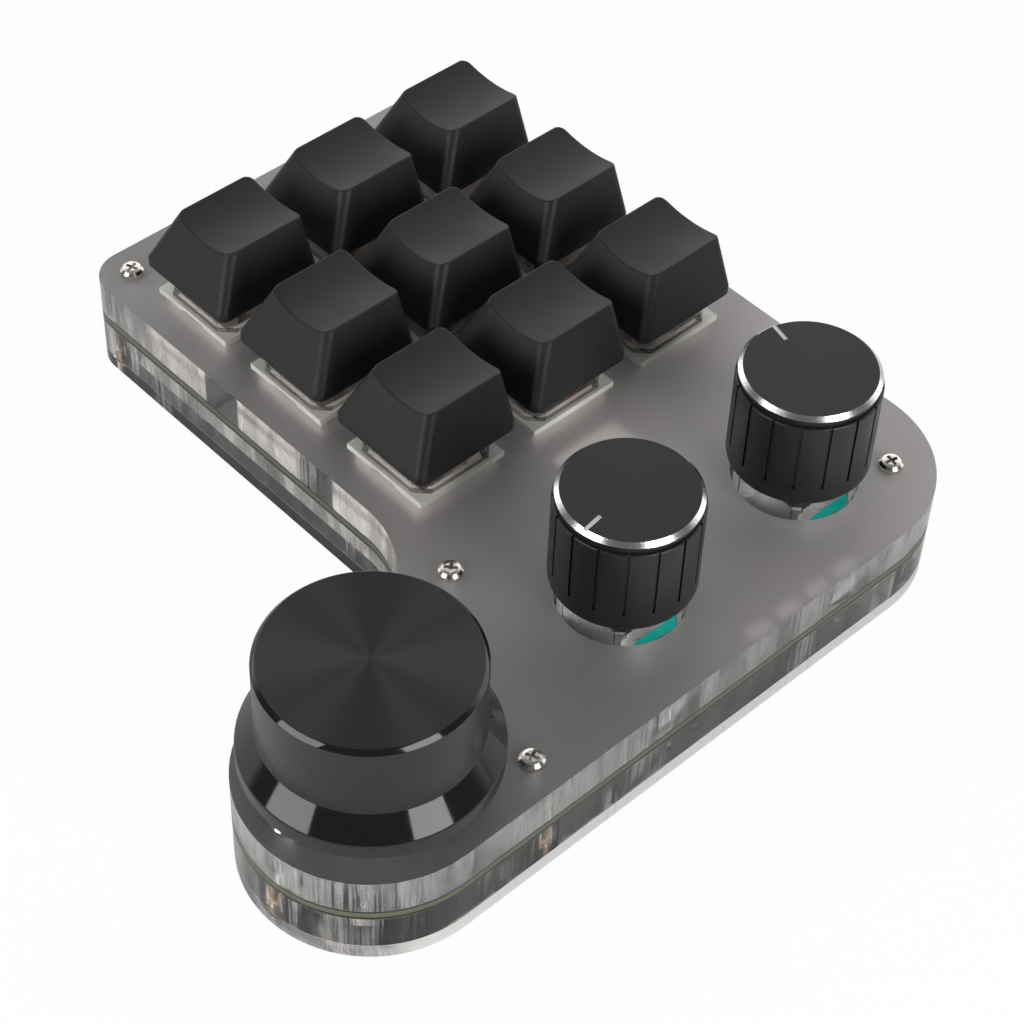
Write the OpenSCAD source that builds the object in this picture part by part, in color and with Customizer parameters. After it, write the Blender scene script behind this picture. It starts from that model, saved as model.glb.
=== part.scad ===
// Macro keypad: nine mechanical keys and three push knobs between layers of clear acrylic.
// Millimetres, +Z up. The origin is under the middle of the object, on the surface it stands on.
// +X is the user's right and +Y points away from the user.

/* [Outline] */
// Overall width, left edge to right edge
body_w = 116.6; // [112:1:126]
// Overall depth, round front end to back edge
body_d = 117.1; // [114:1:126]
// Depth of the block that holds the keys
key_block_d = 70.7; // [69:0.5:74]
// Width of the knob column, whose ends are half rounds
column_w = 35.8; // [35:0.2:38]
// Radius of the outer corners of the key block
block_corner_r = 5.5; // [4:0.5:7]
// Radius of the hollow corner between key block and knob column
hollow_r = 18; // [14:1:20]

/* [Layers] */
// Thickness of the clear bottom sheet
base_t = 2.4; // [2:0.1:4]
// Thickness of the clear frame under the circuit board
frame_t = 5.8; // [5.2:0.1:8]
// Thickness of the circuit board
board_t = 1.6; // [1.2:0.1:2]
// Thickness of the frosted top plate
plate_t = 5.8; // [5.3:0.1:6.2]
// Width of the frame round its windows
frame_rim = 5.1; // [4:0.1:6]

/* [Keys] */
// Distance between key centres
key_pitch = 21.4; // [19.5:0.1:22.5]
// Distance from the left edge to the middle column of keys
key_mid_left = 40.3; // [38:0.1:44]
// Distance from the back edge to the middle row of keys
key_mid_back = 35.9; // [35:0.1:37]
// How far a key travels
key_travel = 4; // [3:0.1:4]
// Width and depth of a keycap at its foot
cap_w = 18.1; // [17.8:0.1:18.6]
// Height of a keycap
cap_h = 9; // [8.8:0.1:11]
// Height of the foot of a keycap above the top plate
cap_lift = 5.9; // [5.6:0.1:6.2]
// Height of the upright band round the foot of a keycap
cap_skirt_h = 1.3; // [0.8:0.1:2]
// How far the front face leans in
cap_front_lean = 4.2; // [3:0.1:4.4]
// How far the back face leans in
cap_back_lean = 0.4; // [0.2:0.1:2]
// How far each side leans in
cap_side_lean = 2.85; // [2:0.05:3.2]
// Depth of the hollow that runs front to back along the top
cap_dish = 1; // [0.4:0.1:1.3]
// Plan radius of the upright corners at the foot
cap_foot_r = 1.8; // [1:0.1:2.4]
// Plan radius of the corners at the top
cap_top_r = 1.2; // [0.6:0.1:2]
// Wall of a keycap
cap_wall = 1.4; // [1.1:0.05:1.45]
// Least thickness of the top of a keycap
cap_roof = 1.7; // [1.2:0.1:1.8]
// Diameter of the post that grips the stem
cap_post_d = 5.6; // [5.2:0.1:5.8]

/* [Switches] */
// Side of the square opening that a switch clips into
switch_hole_w = 14; // [13.9:0.05:14.4]
// Side of the switch flange on the top plate
flange_w = 15.6; // [15:0.1:16]
// Thickness of the flange
flange_t = 1; // [0.8:0.1:1.2]
// Depth of the switch housing under the flange
switch_depth = 5; // [4.8:0.1:5.1]
// Wall and floor of the switch housing
switch_wall = 1.1; // [0.9:0.1:1.2]
// Diameter of the locating post under a switch
switch_post_d = 3.9; // [3.7:0.1:4.2]
// Length of the locating post
switch_post_l = 3.1; // [2.9:0.1:3.3]
// Length of the solder pins under a switch
switch_pin_l = 3.3; // [3:0.1:3.5]
// Height of the clear cover above the top plate
cover_h = 6.6; // [6.4:0.1:6.8]
// Width of the clear cover at its foot
cover_foot_w = 14.6; // [14:0.1:14.8]
// Width of the clear cover at its top
cover_top_w = 10.6; // [10.2:0.1:10.8]
// Wall of the clear cover
cover_wall = 0.8; // [0.6:0.1:1]
// Width of the stem where it passes the cover
stem_w = 7; // [6.6:0.1:7.4]
// Depth of the stem, front to back
stem_d = 5.4; // [5.3:0.1:5.6]
// Height of the cross that carries the keycap
cross_h = 3.6; // [3.2:0.1:3.8]
// Span of the cross
cross_span = 4; // [3.8:0.05:4.2]
// Thickness of the arms of the cross
cross_arm = 1.2; // [1.1:0.05:1.3]
// Diameter of the guide rod of the stem
rod_d = 2; // [1.8:0.1:2.2]
// Outer diameter of the key spring
spring_d = 4.2; // [3.9:0.1:4.4]
// Thickness of the key spring
spring_wire = 0.4; // [0.3:0.05:0.5]

/* [Encoders] */
// Width of the encoder case
encoder_w = 11.8; // [11.6:0.1:12]
// Height of an encoder from the board to the top of its bracket
encoder_h = 6.7; // [6.6:0.1:7]
// Diameter of the opening in the top plate round an encoder
encoder_hole_d = 18.2; // [17.4:0.1:19]
// Sheet thickness of the metal bracket
bracket_t = 0.5; // [0.4:0.05:0.6]
// Depth of the bracket's lips over the sides of the case
bracket_lip_h = 1.9; // [1.2:0.1:2.4]
// Cut across the corners of the bracket
bracket_corner = 1.2; // [0.8:0.1:1.6]
// Diameter of the bush that guides a shaft
bush_d = 7.2; // [7:0.1:7.6]
// Length of the bush
bush_l = 5; // [4:0.1:5.4]
// Diameter of a knob shaft
shaft_d = 6; // [5.8:0.1:6.1]
// Length of a knob shaft above the bracket
shaft_l = 15; // [14:0.5:15.5]
// Depth of the flat along one side of a shaft
shaft_flat = 1.5; // [1:0.1:1.6]
// How far a knob presses down
push_travel = 0.5; // [0.3:0.1:0.5]
// Diameter of the contact wheel that turns with the shaft
rotor_d = 9.4; // [9:0.1:9.8]
// Running gap between any knob and the top plate
knob_gap = 4; // [2.5:0.1:4.4]

/* [Small knobs] */
// Distance between front and middle knob
knob_pitch_front = 44; // [42:0.5:45]
// Distance between middle and rear knob
knob_pitch_rear = 34.2; // [33:0.2:35]
// Diameter of a small knob over its ribs
knob_d = 20.3; // [19.8:0.1:21]
// Height of a small knob
knob_h = 16.4; // [15.6:0.1:18]
// Wall of a small knob
knob_wall = 1.8; // [1.4:0.1:2.2]
// Diameter of the hub inside a small knob
knob_hub_d = 9.6; // [9:0.1:11]
// Diameter of the neck under the metal cap
knob_neck_d = 19.2; // [18.6:0.1:19.4]
// Height of the neck under the metal cap
knob_neck_h = 0.7; // [0.4:0.1:1.2]
// Diameter of the metal cap
knob_cap_d = 19.7; // [19.4:0.1:20]
// Thickness of the metal cap
knob_cap_t = 1; // [0.9:0.1:1.4]
// Bright chamfer round the metal cap
knob_chamfer = 0.6; // [0.3:0.1:0.7]
// Length of the pointer groove in the cap
pointer_l = 3; // [2:0.1:5]
// Width of the pointer groove
pointer_w = 0.6; // [0.4:0.1:1]
// Number of grooves round a small knob
groove_count = 16; // [12:1:20]
// Width of a groove
groove_w = 0.7; // [0.4:0.1:1]
// Depth of a groove
groove_depth = 0.45; // [0.2:0.05:0.7]
// Height of the smooth band below the grooves
knob_band_h = 3.2; // [2:0.1:5]
// Rounding of the bottom edge
knob_foot_r = 0.9; // [0.5:0.1:1.4]

/* [Big knob] */
// Diameter of the body of the big knob
big_d = 29; // [27:0.2:30]
// Diameter of the skirt of the big knob
big_skirt_d = 34; // [32:0.2:35]
// Height of the big knob
big_h = 17.5; // [16:0.1:19]
// Height of the upright rim of the skirt
big_rim_h = 2.4; // [1.6:0.1:3]
// Height of the sloping band above the rim
big_slope_h = 3.4; // [2:0.1:4]
// Polished chamfer round the top
big_chamfer = 0.6; // [0.3:0.1:1.2]
// Diameter of the shallow recess under the big knob
big_recess_d = 24; // [12:0.5:28]
// Diameter of the set screw of the big knob
set_screw_d = 3; // [2.5:0.1:3.4]
// Length of the set screw
set_screw_l = 6; // [5:0.5:8]

/* [Fasteners] */
// Thread diameter of the screws
screw_d = 2; // [1.8:0.1:2.2]
// Diameter of a pan head
head_d = 3.5; // [3.2:0.1:4]
// Height of a pan head
head_h = 1.3; // [1:0.1:1.5]
// Diameter of a countersunk head
sunk_head_d = 3.8; // [3.5:0.1:4.2]
// Length of a top screw under its head
top_screw_l = 10; // [9.4:0.1:10.4]
// Length of a bottom screw over all
bottom_screw_l = 5; // [4:0.1:5.2]
// Outer diameter of a threaded standoff
standoff_d = 3.5; // [3.2:0.1:4]
// Diameter of the round opening in the frame for a standoff
standoff_hole_d = 4.8; // [4.4:0.1:5.4]
// Distance of the edge screws from the edges
screw_inset = 5.1; // [4.6:0.1:5.6]

/* [Hidden] */
$fn = 72;
hull_fn = 32;
// Overrun of every cut, fit of parts that grip, and running gap of parts that move
cut = 1;
slip = 0.05;
play = 0.3;

// Heights of the layers
frame_z = base_t;
board_z = frame_z + frame_t;
plate_z = board_z + board_t;
deck_z = plate_z + plate_t;

// Outline, seen from above
column_r = column_w / 2;
left_x = -body_w / 2;
back_y = body_d / 2;
block_front_y = back_y - key_block_d;
column_x = body_w / 2 - column_r;
lobe_y = column_r - body_d / 2;
rear_arc_y = back_y - column_r;
hollow_y = block_front_y - hollow_r;
// The hollow arc ends on a round of the column. A long column has a straight side below it
hollow_drop = 10.6;
shoulder_y = max(lobe_y, hollow_y - hollow_drop);
hollow_x = column_x - sqrt(pow(hollow_r + column_r, 2) - pow(hollow_y - shoulder_y, 2));
// The hollow arc crosses its neighbours by this much, so that their edges meet cleanly
hollow_ease = 0.02;

// Key places, counted from back left to front right
key_x = left_x + key_mid_left;
key_y = back_y - key_mid_back;
KEYS = [for (row = [1:-1:-1], col = [-1:1]) [key_x + col * key_pitch, key_y + row * key_pitch]];

// Knob places: front, middle, rear, with the way that each shaft's flat faces
KNOB_Y = [lobe_y, lobe_y + knob_pitch_front, lobe_y + knob_pitch_front + knob_pitch_rear];
FLAT_DEG = [135, 97.5, -14];
POINTER_DEG = [-82.5, 166];
GROOVE_DEG = [-45, -53];

// Screw places
hollow_screw_inset = 7.1;
hollow_screw_deg = 48.5;
side_screw_step = 15.7;
rear_screw_inset = 6.5;
tip_screw_inset = 4;
hollow_screw_r = hollow_r + hollow_screw_inset;
hollow_screw = [
    hollow_x + hollow_screw_r * cos(hollow_screw_deg),
    hollow_y + hollow_screw_r * sin(hollow_screw_deg)
];
rear_screw_step = (column_r - rear_screw_inset) * cos(45);
SCREWS = [
    [left_x + screw_inset, block_front_y + screw_inset],
    [left_x + screw_inset, back_y - screw_inset],
    [hollow_screw[0], back_y - screw_inset],
    hollow_screw,
    [column_x + rear_screw_step, rear_arc_y + rear_screw_step],
    [body_w / 2 - screw_inset, lobe_y + side_screw_step],
    [column_x, tip_screw_inset - body_d / 2]
];
screw_r = screw_d / 2 - slip / 2;
screw_hole_r = screw_d / 2 + slip;
recess_w = head_d / 7;
recess_l = head_d * 0.56;
recess_depth = head_h * 0.6;

// Windows in the clear frame
encoder_room = 18;
window_rib = 5;
window_r = 3;
boss_wall = 2;
boss_r = standoff_hole_d / 2 + boss_wall;
column_window_x = column_x - encoder_room / 2;

// Parts under the board
usb_w = 8.94;
usb_h = 3.26;
usb_l = 7.35;
usb_wall = 0.3;
usb_tongue_w = 6.7;
usb_tongue_h = 0.7;
usb_tongue_l = 4.6;
usb_notch_w = 10.4;
chip_w = 7;
chip_h = 1.4;
chip_lead_w = 9;
chip_lead_t = 0.2;
chip_lead_row = 6;
chip_gap = 10;
diode_l = 2.6;
diode_w = 1.6;
diode_h = 1;
diode_right = 6.2;
diode_front = 4;

// Switch details
housing_w = switch_hole_w - 2 * slip;
cavity_w = housing_w - 2 * switch_wall;
notch_w = 5;
notch_depth = 0.7;
notch_h = 0.4;
pin_w = 1;
pin_t = 0.3;
pin_slot_gap = 0.1;
pin_grid = 1.27;
PINS = [[-3, 2], [2, 4]] * pin_grid;
pin_hole_r = 0.75;
rod_gap = 0.25;
post_end = 0.6;
housing_floor_z = switch_wall - switch_depth;
post_tip_z = -switch_depth - switch_post_l;
stem_foot_z = 1.5;
stem_shoulder_w = cover_top_w - 2 * cover_wall;
stem_shoulder_z = cover_h - cover_wall - play;
spring_seat_z = stem_shoulder_z - 0.6 * cover_wall;
rod_tip_z = post_tip_z + post_end + key_travel + play;
stem_gap_y = 0.4;
cover_corner = 2;

// Keycap shape, measured from the foot of the cap
cap_slope_h = cap_h - cap_skirt_h;
cap_room_h = cap_h - cap_dish - cap_roof;
cap_top_w = cap_w - 2 * cap_side_lean;
dish_r = (pow(cap_top_w / 2, 2) + pow(cap_dish, 2)) / (2 * cap_dish);
cap_edge_t = 0.1;
cap_post_z = cover_h - cap_lift;
// Half width of the cap at height h on a face that leans in by lean over its whole slope
function cap_half(lean, h) = cap_w / 2 - lean * (h - cap_skirt_h) / cap_slope_h;

// Encoder details, measured from the top of the board
case_h = encoder_h - bracket_t;
bracket_wall = 0.4;
case_d = encoder_w - 2 * bracket_wall;
bracket_wall_w = 9.6;
bracket_leg_w = 2;
bracket_leg_l = 2.5;
leg_hole_w = 2.4;
leg_hole_d = 0.8;
lip_w = 9.8;
lip_t = 0.25;
dome_z = 0.6;
dome_t = 0.25;
dome_r = 2.4;
dome_room_r = 2.7;
rotor_floor_z = 2.2;
rotor_t = 1.2;
rotor_room_r = rotor_d / 2 + play;
rotor_hub_r = 3;
square_w = 3;
shaft_foot_z = dome_z + dome_t + push_travel + 2 * slip;
shaft_top_z = encoder_h + shaft_l;
shaft_r = shaft_d / 2;
// Pins of an encoder: its side, and its step along that side
ENCODER_PINS = [[-1, -1], [-1, 0], [-1, 1], [1, -1], [1, 1]];
encoder_pin_pitch = 2.5;
encoder_pin_w = 0.8;
encoder_pin_t = 0.4;
encoder_pin_out = 1.1;
encoder_pin_z = 0.4;
encoder_pin_l = 2.3;
encoder_pin_hole_r = 0.6;
encoder_pin_x = encoder_w / 2 + encoder_pin_out - encoder_pin_t / 2;

// Knobs, measured from their undersides
knob_z = deck_z + knob_gap;
hub_z = encoder_h + bush_l + push_travel + play - plate_t - knob_gap;
bore_top_z = shaft_top_z + slip - plate_t - knob_gap;
pointer_depth = 0.2;
knob_lip = 0.3;
knob_roof = 1.6;
knob_body_h = knob_h - knob_cap_t;
set_screw_z = 0.7 * bore_top_z;

// Flat square bar along Z, centred on its axis
module bar(w, d, h) {
    translate([-w / 2, -d / 2, 0]) cube([w, d, h]);
}

// Rectangle with round corners between two points
module rounded_rect(x0, y0, x1, y1, r) {
    translate([x0 + r, y0]) square([x1 - x0 - 2 * r, y1 - y0]);
    translate([x0, y0 + r]) square([x1 - x0, y1 - y0 - 2 * r]);
    for (x = [x0 + r, x1 - r], y = [y0 + r, y1 - r]) translate([x, y]) circle(r);
}

// Key block and knob column, seen from above
module blocks() {
    rounded_rect(left_x, block_front_y, column_x, back_y, block_corner_r);
    translate([column_x - column_r, block_front_y]) square([column_r, key_block_d]);
    translate([column_x, lobe_y]) square([column_r, rear_arc_y - lobe_y]);
    for (y = [lobe_y, rear_arc_y]) translate([column_x, y]) circle(column_r);
    if (shoulder_y > lobe_y) {
        translate([column_x - column_r, lobe_y]) square([column_r, shoulder_y - lobe_y]);
        translate([column_x, shoulder_y]) circle(column_r);
    }
}

// Fillet that joins the block and the column in a hollow arc
module hollow_fillet() {
    difference() {
        polygon([
            [hollow_x, hollow_y], [hollow_x, block_front_y + block_corner_r],
            [column_x + column_r / 2, block_front_y + block_corner_r],
            [column_x + column_r / 2, shoulder_y], [column_x, shoulder_y]
        ]);
        translate([hollow_x, hollow_y]) circle(hollow_r + hollow_ease);
    }
}

// Sheet of the full outline, which every layer shares
module slab(t) {
    linear_extrude(height = t) blocks();
    linear_extrude(height = t) hollow_fillet();
}

// Sheet with a hole at every screw
module layer(t) {
    difference() {
        slab(t);
        for (p = SCREWS) translate([p[0], p[1], -cut]) cylinder(r = screw_hole_r, h = t + 2 * cut);
    }
}

module base_plate() color([0.86, 0.87, 0.86, 0.5]) difference() {
    layer(base_t);
    for (p = SCREWS) translate([p[0], p[1], 0]) sunk_head(slip);
}

// Cone of a countersunk head, wide end down, with a gap all round
module sunk_head(gap) {
    cone_h = (sunk_head_d - screw_d) / 2;
    rotate_extrude() polygon([
        [0, gap > 0 ? -cut : 0], [sunk_head_d / 2 + gap, gap > 0 ? -cut : 0],
        [sunk_head_d / 2 + gap, 0], [screw_d / 2 + gap, cone_h], [0, cone_h]
    ]);
}

// The two windows of the frame, less a boss round every screw
module frame_windows() {
    difference() {
        union() {
            rounded_rect(
                left_x + frame_rim, block_front_y + frame_rim,
                column_window_x - window_rib, back_y - frame_rim, window_r
            );
            rounded_rect(
                column_window_x, KNOB_Y[0] - encoder_room / 2,
                column_window_x + encoder_room, KNOB_Y[2] + encoder_room / 2, window_r
            );
        }
        for (p = SCREWS) translate(p) circle(boss_r);
    }
}

module base_frame() color([0.86, 0.87, 0.86, 0.5]) translate([0, 0, frame_z]) difference() {
    slab(frame_t);
    translate([0, 0, -cut]) linear_extrude(height = frame_t + 2 * cut) frame_windows();
    translate([key_x, back_y, -cut]) bar(usb_notch_w, 2 * frame_rim + cut, frame_t + 2 * cut);
    for (p = SCREWS) translate([p[0], p[1], -cut])
        cylinder(d = standoff_hole_d, h = frame_t + 2 * cut);
}

module circuit_board() color([0.32, 0.35, 0.28]) translate([0, 0, board_z]) difference() {
    layer(board_t);
    for (p = KEYS) translate([p[0], p[1], -cut]) {
        cylinder(r = switch_post_d / 2 + slip, h = board_t + 2 * cut);
        for (q = PINS) translate([q[0], q[1], 0]) cylinder(r = pin_hole_r, h = board_t + 2 * cut);
    }
    for (y = KNOB_Y) translate([column_x, y, -cut]) {
        for (q = ENCODER_PINS)
            translate([q[0] * encoder_pin_x, q[1] * encoder_pin_pitch, 0])
                cylinder(r = encoder_pin_hole_r, h = board_t + 2 * cut);
        for (s = [-1, 1]) translate([0, s * (encoder_w / 2 - bracket_wall / 2), 0])
            bar(leg_hole_w, leg_hole_d, board_t + 2 * cut);
    }
}

module top_plate() color([0.72, 0.71, 0.7, 0.7]) translate([0, 0, plate_z]) difference() {
    layer(plate_t);
    for (p = KEYS) translate([p[0], p[1], -cut]) bar(switch_hole_w, switch_hole_w, plate_t + 2 * cut);
    for (y = KNOB_Y) translate([column_x, y, -cut])
        cylinder(d = encoder_hole_d, h = plate_t + 2 * cut);
}

// Pan head screw, its head on the plate and its thread down in a standoff
module top_screw() {
    difference() {
        rotate_extrude() polygon([
            [0, -top_screw_l], [screw_r, -top_screw_l], [screw_r, 0], [head_d / 2, 0],
            [head_d / 2, head_h * 0.6], [head_d / 2 - head_h * 0.3, head_h * 0.92],
            [head_d / 4, head_h], [0, head_h]
        ]);
        for (a = [0, 90]) rotate(a) translate([0, 0, head_h - recess_depth])
            bar(recess_l, recess_w, recess_depth + cut);
    }
}

module top_screws() color([0.75, 0.73, 0.68])
    for (i = [0:len(SCREWS) - 1]) translate([SCREWS[i][0], SCREWS[i][1], deck_z])
        rotate(20 + 37 * i) top_screw();

module standoffs() color([0.78, 0.66, 0.42]) for (p = SCREWS) translate([p[0], p[1], frame_z])
    difference() {
        cylinder(d = standoff_d, h = frame_t);
        translate([0, 0, -cut]) cylinder(r = screw_hole_r, h = frame_t + 2 * cut);
    }

module bottom_screws() color([0.75, 0.73, 0.68]) for (p = SCREWS) translate([p[0], p[1], 0])
    difference() {
        union() {
            sunk_head(0);
            cylinder(r = screw_r, h = bottom_screw_l);
        }
        for (a = [0, 90]) rotate(a) translate([0, 0, -cut]) bar(recess_l, recess_w, cut + recess_depth);
    }

// Stadium profile of the connector, in X and Z
module usb_profile(grow) {
    r = usb_h / 2 + grow;
    square([usb_w - usb_h, 2 * r], center = true);
    for (s = [-1, 1]) translate([s * (usb_w - usb_h) / 2, 0]) circle(r);
}

module usb_socket() color([0.75, 0.75, 0.76])
    translate([key_x, back_y, board_z - usb_h / 2]) rotate([90, 0, 0]) {
        difference() {
            linear_extrude(height = usb_l) usb_profile(0);
            translate([0, 0, -cut]) linear_extrude(height = usb_l + cut - usb_wall)
                usb_profile(-usb_wall);
        }
        translate([0, -usb_tongue_h / 2, usb_l - usb_wall - usb_tongue_l])
            translate([-usb_tongue_w / 2, 0, 0])
                cube([usb_tongue_w, usb_tongue_h, usb_tongue_l + usb_wall / 2]);
    }

module controller_chip() color([0.12, 0.12, 0.13])
    translate([column_window_x - window_rib - chip_gap + chip_w / 2, key_y, board_z - chip_h]) {
        bar(chip_w, chip_w, chip_h);
        translate([0, 0, chip_h - chip_lead_t]) {
            bar(chip_lead_w, chip_lead_row, chip_lead_t);
            bar(chip_lead_row, chip_lead_w, chip_lead_t);
        }
    }

module board_diodes() color([0.15, 0.15, 0.15]) for (p = KEYS)
    translate([p[0] + diode_right, p[1] - diode_front, board_z - diode_h])
        bar(diode_w, diode_l, diode_h);

// White lower housing of a switch, its flange resting on the plate at height 0
module switch_base() {
    difference() {
        union() {
            bar(flange_w, flange_w, flange_t);
            translate([0, 0, -switch_depth]) bar(housing_w, housing_w, switch_depth);
            translate([0, 0, post_tip_z]) cylinder(d = switch_post_d, h = switch_post_l);
        }
        translate([0, 0, housing_floor_z]) bar(cavity_w, cavity_w, switch_depth + cut);
        translate([0, 0, post_tip_z + post_end])
            cylinder(r = rod_d / 2 + rod_gap, h = switch_post_l + switch_wall);
        for (q = PINS) translate([q[0], q[1], -switch_depth - cut])
            bar(pin_w + 2 * pin_slot_gap, pin_t + 2 * pin_slot_gap, switch_wall + 2 * cut);
        for (s = [-1, 1]) translate([0, s * flange_w / 2, -cut])
            bar(notch_w, 2 * notch_depth, notch_h + cut);
    }
}

module switch_bases() color([0.93, 0.92, 0.88])
    for (p = KEYS) translate([p[0], p[1], deck_z]) switch_base();

// Trapezoid in Z that runs along one horizontal axis
module ridge(foot_w, top_w, h, turn) {
    rotate(turn) rotate([90, 0, 0]) linear_extrude(height = 2 * foot_w, center = true)
        polygon([[-foot_w / 2, 0], [foot_w / 2, 0], [top_w / 2, h], [-top_w / 2, h]]);
}

// Block with a square foot and a smaller square top, its corners cut off
module tapered_block(foot_w, top_w, h, corner) {
    foot_across = (foot_w - corner) * sqrt(2);
    top_across = (top_w - corner / 2) * sqrt(2);
    intersection() {
        ridge(foot_w, top_w, h, 0);
        ridge(foot_w, top_w, h, 90);
        ridge(foot_across, top_across, h, 45);
        ridge(foot_across, top_across, h, 135);
    }
}

// Clear upper housing, in the shape of a hollow frustum
module switch_cover() {
    h = cover_h - flange_t;
    translate([0, 0, flange_t]) difference() {
        tapered_block(cover_foot_w, cover_top_w, h, cover_corner);
        tapered_block(
            cover_foot_w - 2 * cover_wall, cover_top_w - 2 * cover_wall, h - cover_wall, cover_corner
        );
        translate([0, 0, -cut]) bar(cover_top_w, cover_top_w, cut + slip);
        bar(stem_w + 2 * play, stem_d + 2 * stem_gap_y, h + cut);
    }
}

module switch_covers() color([0.9, 0.88, 0.86, 0.5])
    for (p = KEYS) translate([p[0], p[1], deck_z]) switch_cover();

module switch_pins() color([0.8, 0.7, 0.45]) for (p = KEYS, q = PINS)
    translate([p[0] + q[0], p[1] + q[1], deck_z - switch_depth - switch_pin_l])
        bar(pin_w, pin_t, switch_pin_l + switch_wall + pin_t);

// Red stem that slides in the switch and carries the keycap on its cross
module stem(i) {
    color([0.7, 0.15, 0.12]) translate([KEYS[i][0], KEYS[i][1], deck_z]) {
        difference() {
            union() {
                translate([0, 0, stem_foot_z])
                    bar(stem_shoulder_w, stem_d, stem_shoulder_z - stem_foot_z);
                translate([0, 0, stem_shoulder_z]) bar(stem_w, stem_d, cover_h - stem_shoulder_z);
                for (size = [[cross_span, cross_arm], [cross_arm, cross_span]])
                    translate([0, 0, cover_h]) bar(size[0], size[1], cross_h);
            }
            translate([0, 0, stem_foot_z - cut])
                cylinder(r = spring_d / 2 + play, h = spring_seat_z - stem_foot_z + cut);
        }
        translate([0, 0, rod_tip_z]) cylinder(d = rod_d, h = stem_shoulder_z - rod_tip_z);
    }
}

module spring(i) {
    color([0.7, 0.7, 0.68]) translate([KEYS[i][0], KEYS[i][1], deck_z + housing_floor_z]) difference() {
        cylinder(d = spring_d, h = spring_seat_z - housing_floor_z);
        translate([0, 0, -cut])
            cylinder(d = spring_d - 2 * spring_wire, h = spring_seat_z - housing_floor_z + 2 * cut);
    }
}

// Corners of the cap in plan, front and back, for a corner radius r
function cap_corners(r, front, back, side) = [
    [r - side, r - front], [side - r, r - front], [r - side, back - r], [side - r, back - r]
];

module keycap_shell() {
    foot = cap_w / 2;
    hull() {
        for (p = cap_corners(cap_foot_r, foot, foot, foot)) translate([p[0], p[1], 0])
            cylinder(r = cap_foot_r, h = cap_skirt_h, $fn = hull_fn);
        for (p = cap_corners(
            cap_top_r, foot - cap_front_lean, foot - cap_back_lean, foot - cap_side_lean
        )) translate([p[0], p[1], cap_h - cap_edge_t])
            cylinder(r = cap_top_r, h = cap_edge_t, $fn = hull_fn);
    }
}

// Space inside the cap: its walls follow the outer faces
module keycap_room() {
    foot = cap_w / 2 - cap_wall;
    side = cap_half(cap_side_lean, cap_room_h) - cap_wall;
    front = cap_half(cap_front_lean, cap_room_h) - cap_wall;
    back = cap_half(cap_back_lean, cap_room_h) - cap_wall;
    intersection() {
        rotate([90, 0, 0]) linear_extrude(height = 2 * foot, center = true) polygon([
            [-foot, -cut], [foot, -cut], [foot, cap_skirt_h],
            [side, cap_room_h], [-side, cap_room_h], [-foot, cap_skirt_h]
        ]);
        rotate([90, 0, 90]) linear_extrude(height = 2 * foot, center = true) polygon([
            [-foot, -cut], [foot, -cut], [foot, cap_skirt_h],
            [back, cap_room_h], [-front, cap_room_h], [-foot, cap_skirt_h]
        ]);
    }
}

module keycap(i) {
    color([0.13, 0.13, 0.14]) translate([KEYS[i][0], KEYS[i][1], deck_z + cap_lift]) difference() {
        union() {
            difference() {
                keycap_shell();
                keycap_room();
                translate([0, cap_w / 2 + cut, cap_h - cap_dish + dish_r]) rotate([90, 0, 0])
                    cylinder(r = dish_r, h = cap_w + 2 * cut, $fn = 4 * hull_fn);
            }
            translate([0, 0, cap_post_z])
                cylinder(d = cap_post_d, h = cap_room_h + cap_roof / 2 - cap_post_z);
        }
        for (size = [[cross_span, cross_arm], [cross_arm, cross_span]])
            translate([0, 0, cap_post_z - cut])
                bar(size[0] + 2 * slip, size[1] + 2 * slip, cross_h + slip + cut);
    }
}

// Place of one encoder, on the board
module at_encoder(k) {
    translate([column_x, KNOB_Y[k], plate_z]) children();
}

module encoder_case(k) {
    color([0.1, 0.6, 0.52]) at_encoder(k) difference() {
        bar(encoder_w, case_d, case_h);
        translate([0, 0, rotor_floor_z]) cylinder(r = rotor_room_r, h = case_h);
        translate([0, 0, dome_z]) cylinder(r = dome_room_r, h = case_h);
    }
}

module encoder_bracket(k) {
    half = encoder_w / 2;
    color([0.75, 0.75, 0.74]) at_encoder(k) difference() {
        union() {
            translate([0, 0, case_h]) linear_extrude(height = bracket_t) polygon([
                [half, half - bracket_corner], [half - bracket_corner, half],
                [bracket_corner - half, half], [-half, half - bracket_corner],
                [-half, bracket_corner - half], [bracket_corner - half, -half],
                [half - bracket_corner, -half], [half, bracket_corner - half]
            ]);
            for (s = [-1, 1]) {
                translate([0, s * (half - bracket_wall / 2), 0])
                    bar(bracket_wall_w, bracket_wall, encoder_h);
                translate([0, s * (half - bracket_wall / 2), -bracket_leg_l])
                    bar(bracket_leg_w, bracket_wall, bracket_leg_l + case_h);
                translate([s * (half + lip_t / 2), 0, encoder_h - bracket_lip_h])
                    bar(lip_t, lip_w, bracket_lip_h);
            }
            translate([0, 0, encoder_h]) cylinder(d = bush_d, h = bush_l);
        }
        cylinder(r = shaft_r + slip, h = encoder_h + bush_l + cut);
    }
}

module encoder_rotor(k) {
    color([0.85, 0.84, 0.78]) at_encoder(k) difference() {
        union() {
            translate([0, 0, rotor_floor_z + play]) cylinder(d = rotor_d, h = rotor_t);
            translate([0, 0, rotor_floor_z + play])
                cylinder(r = rotor_hub_r, h = case_h - rotor_floor_z - push_travel - 2 * play);
        }
        rotate(FLAT_DEG[k]) bar(square_w + 4 * slip, square_w + 4 * slip, case_h);
    }
}

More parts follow.
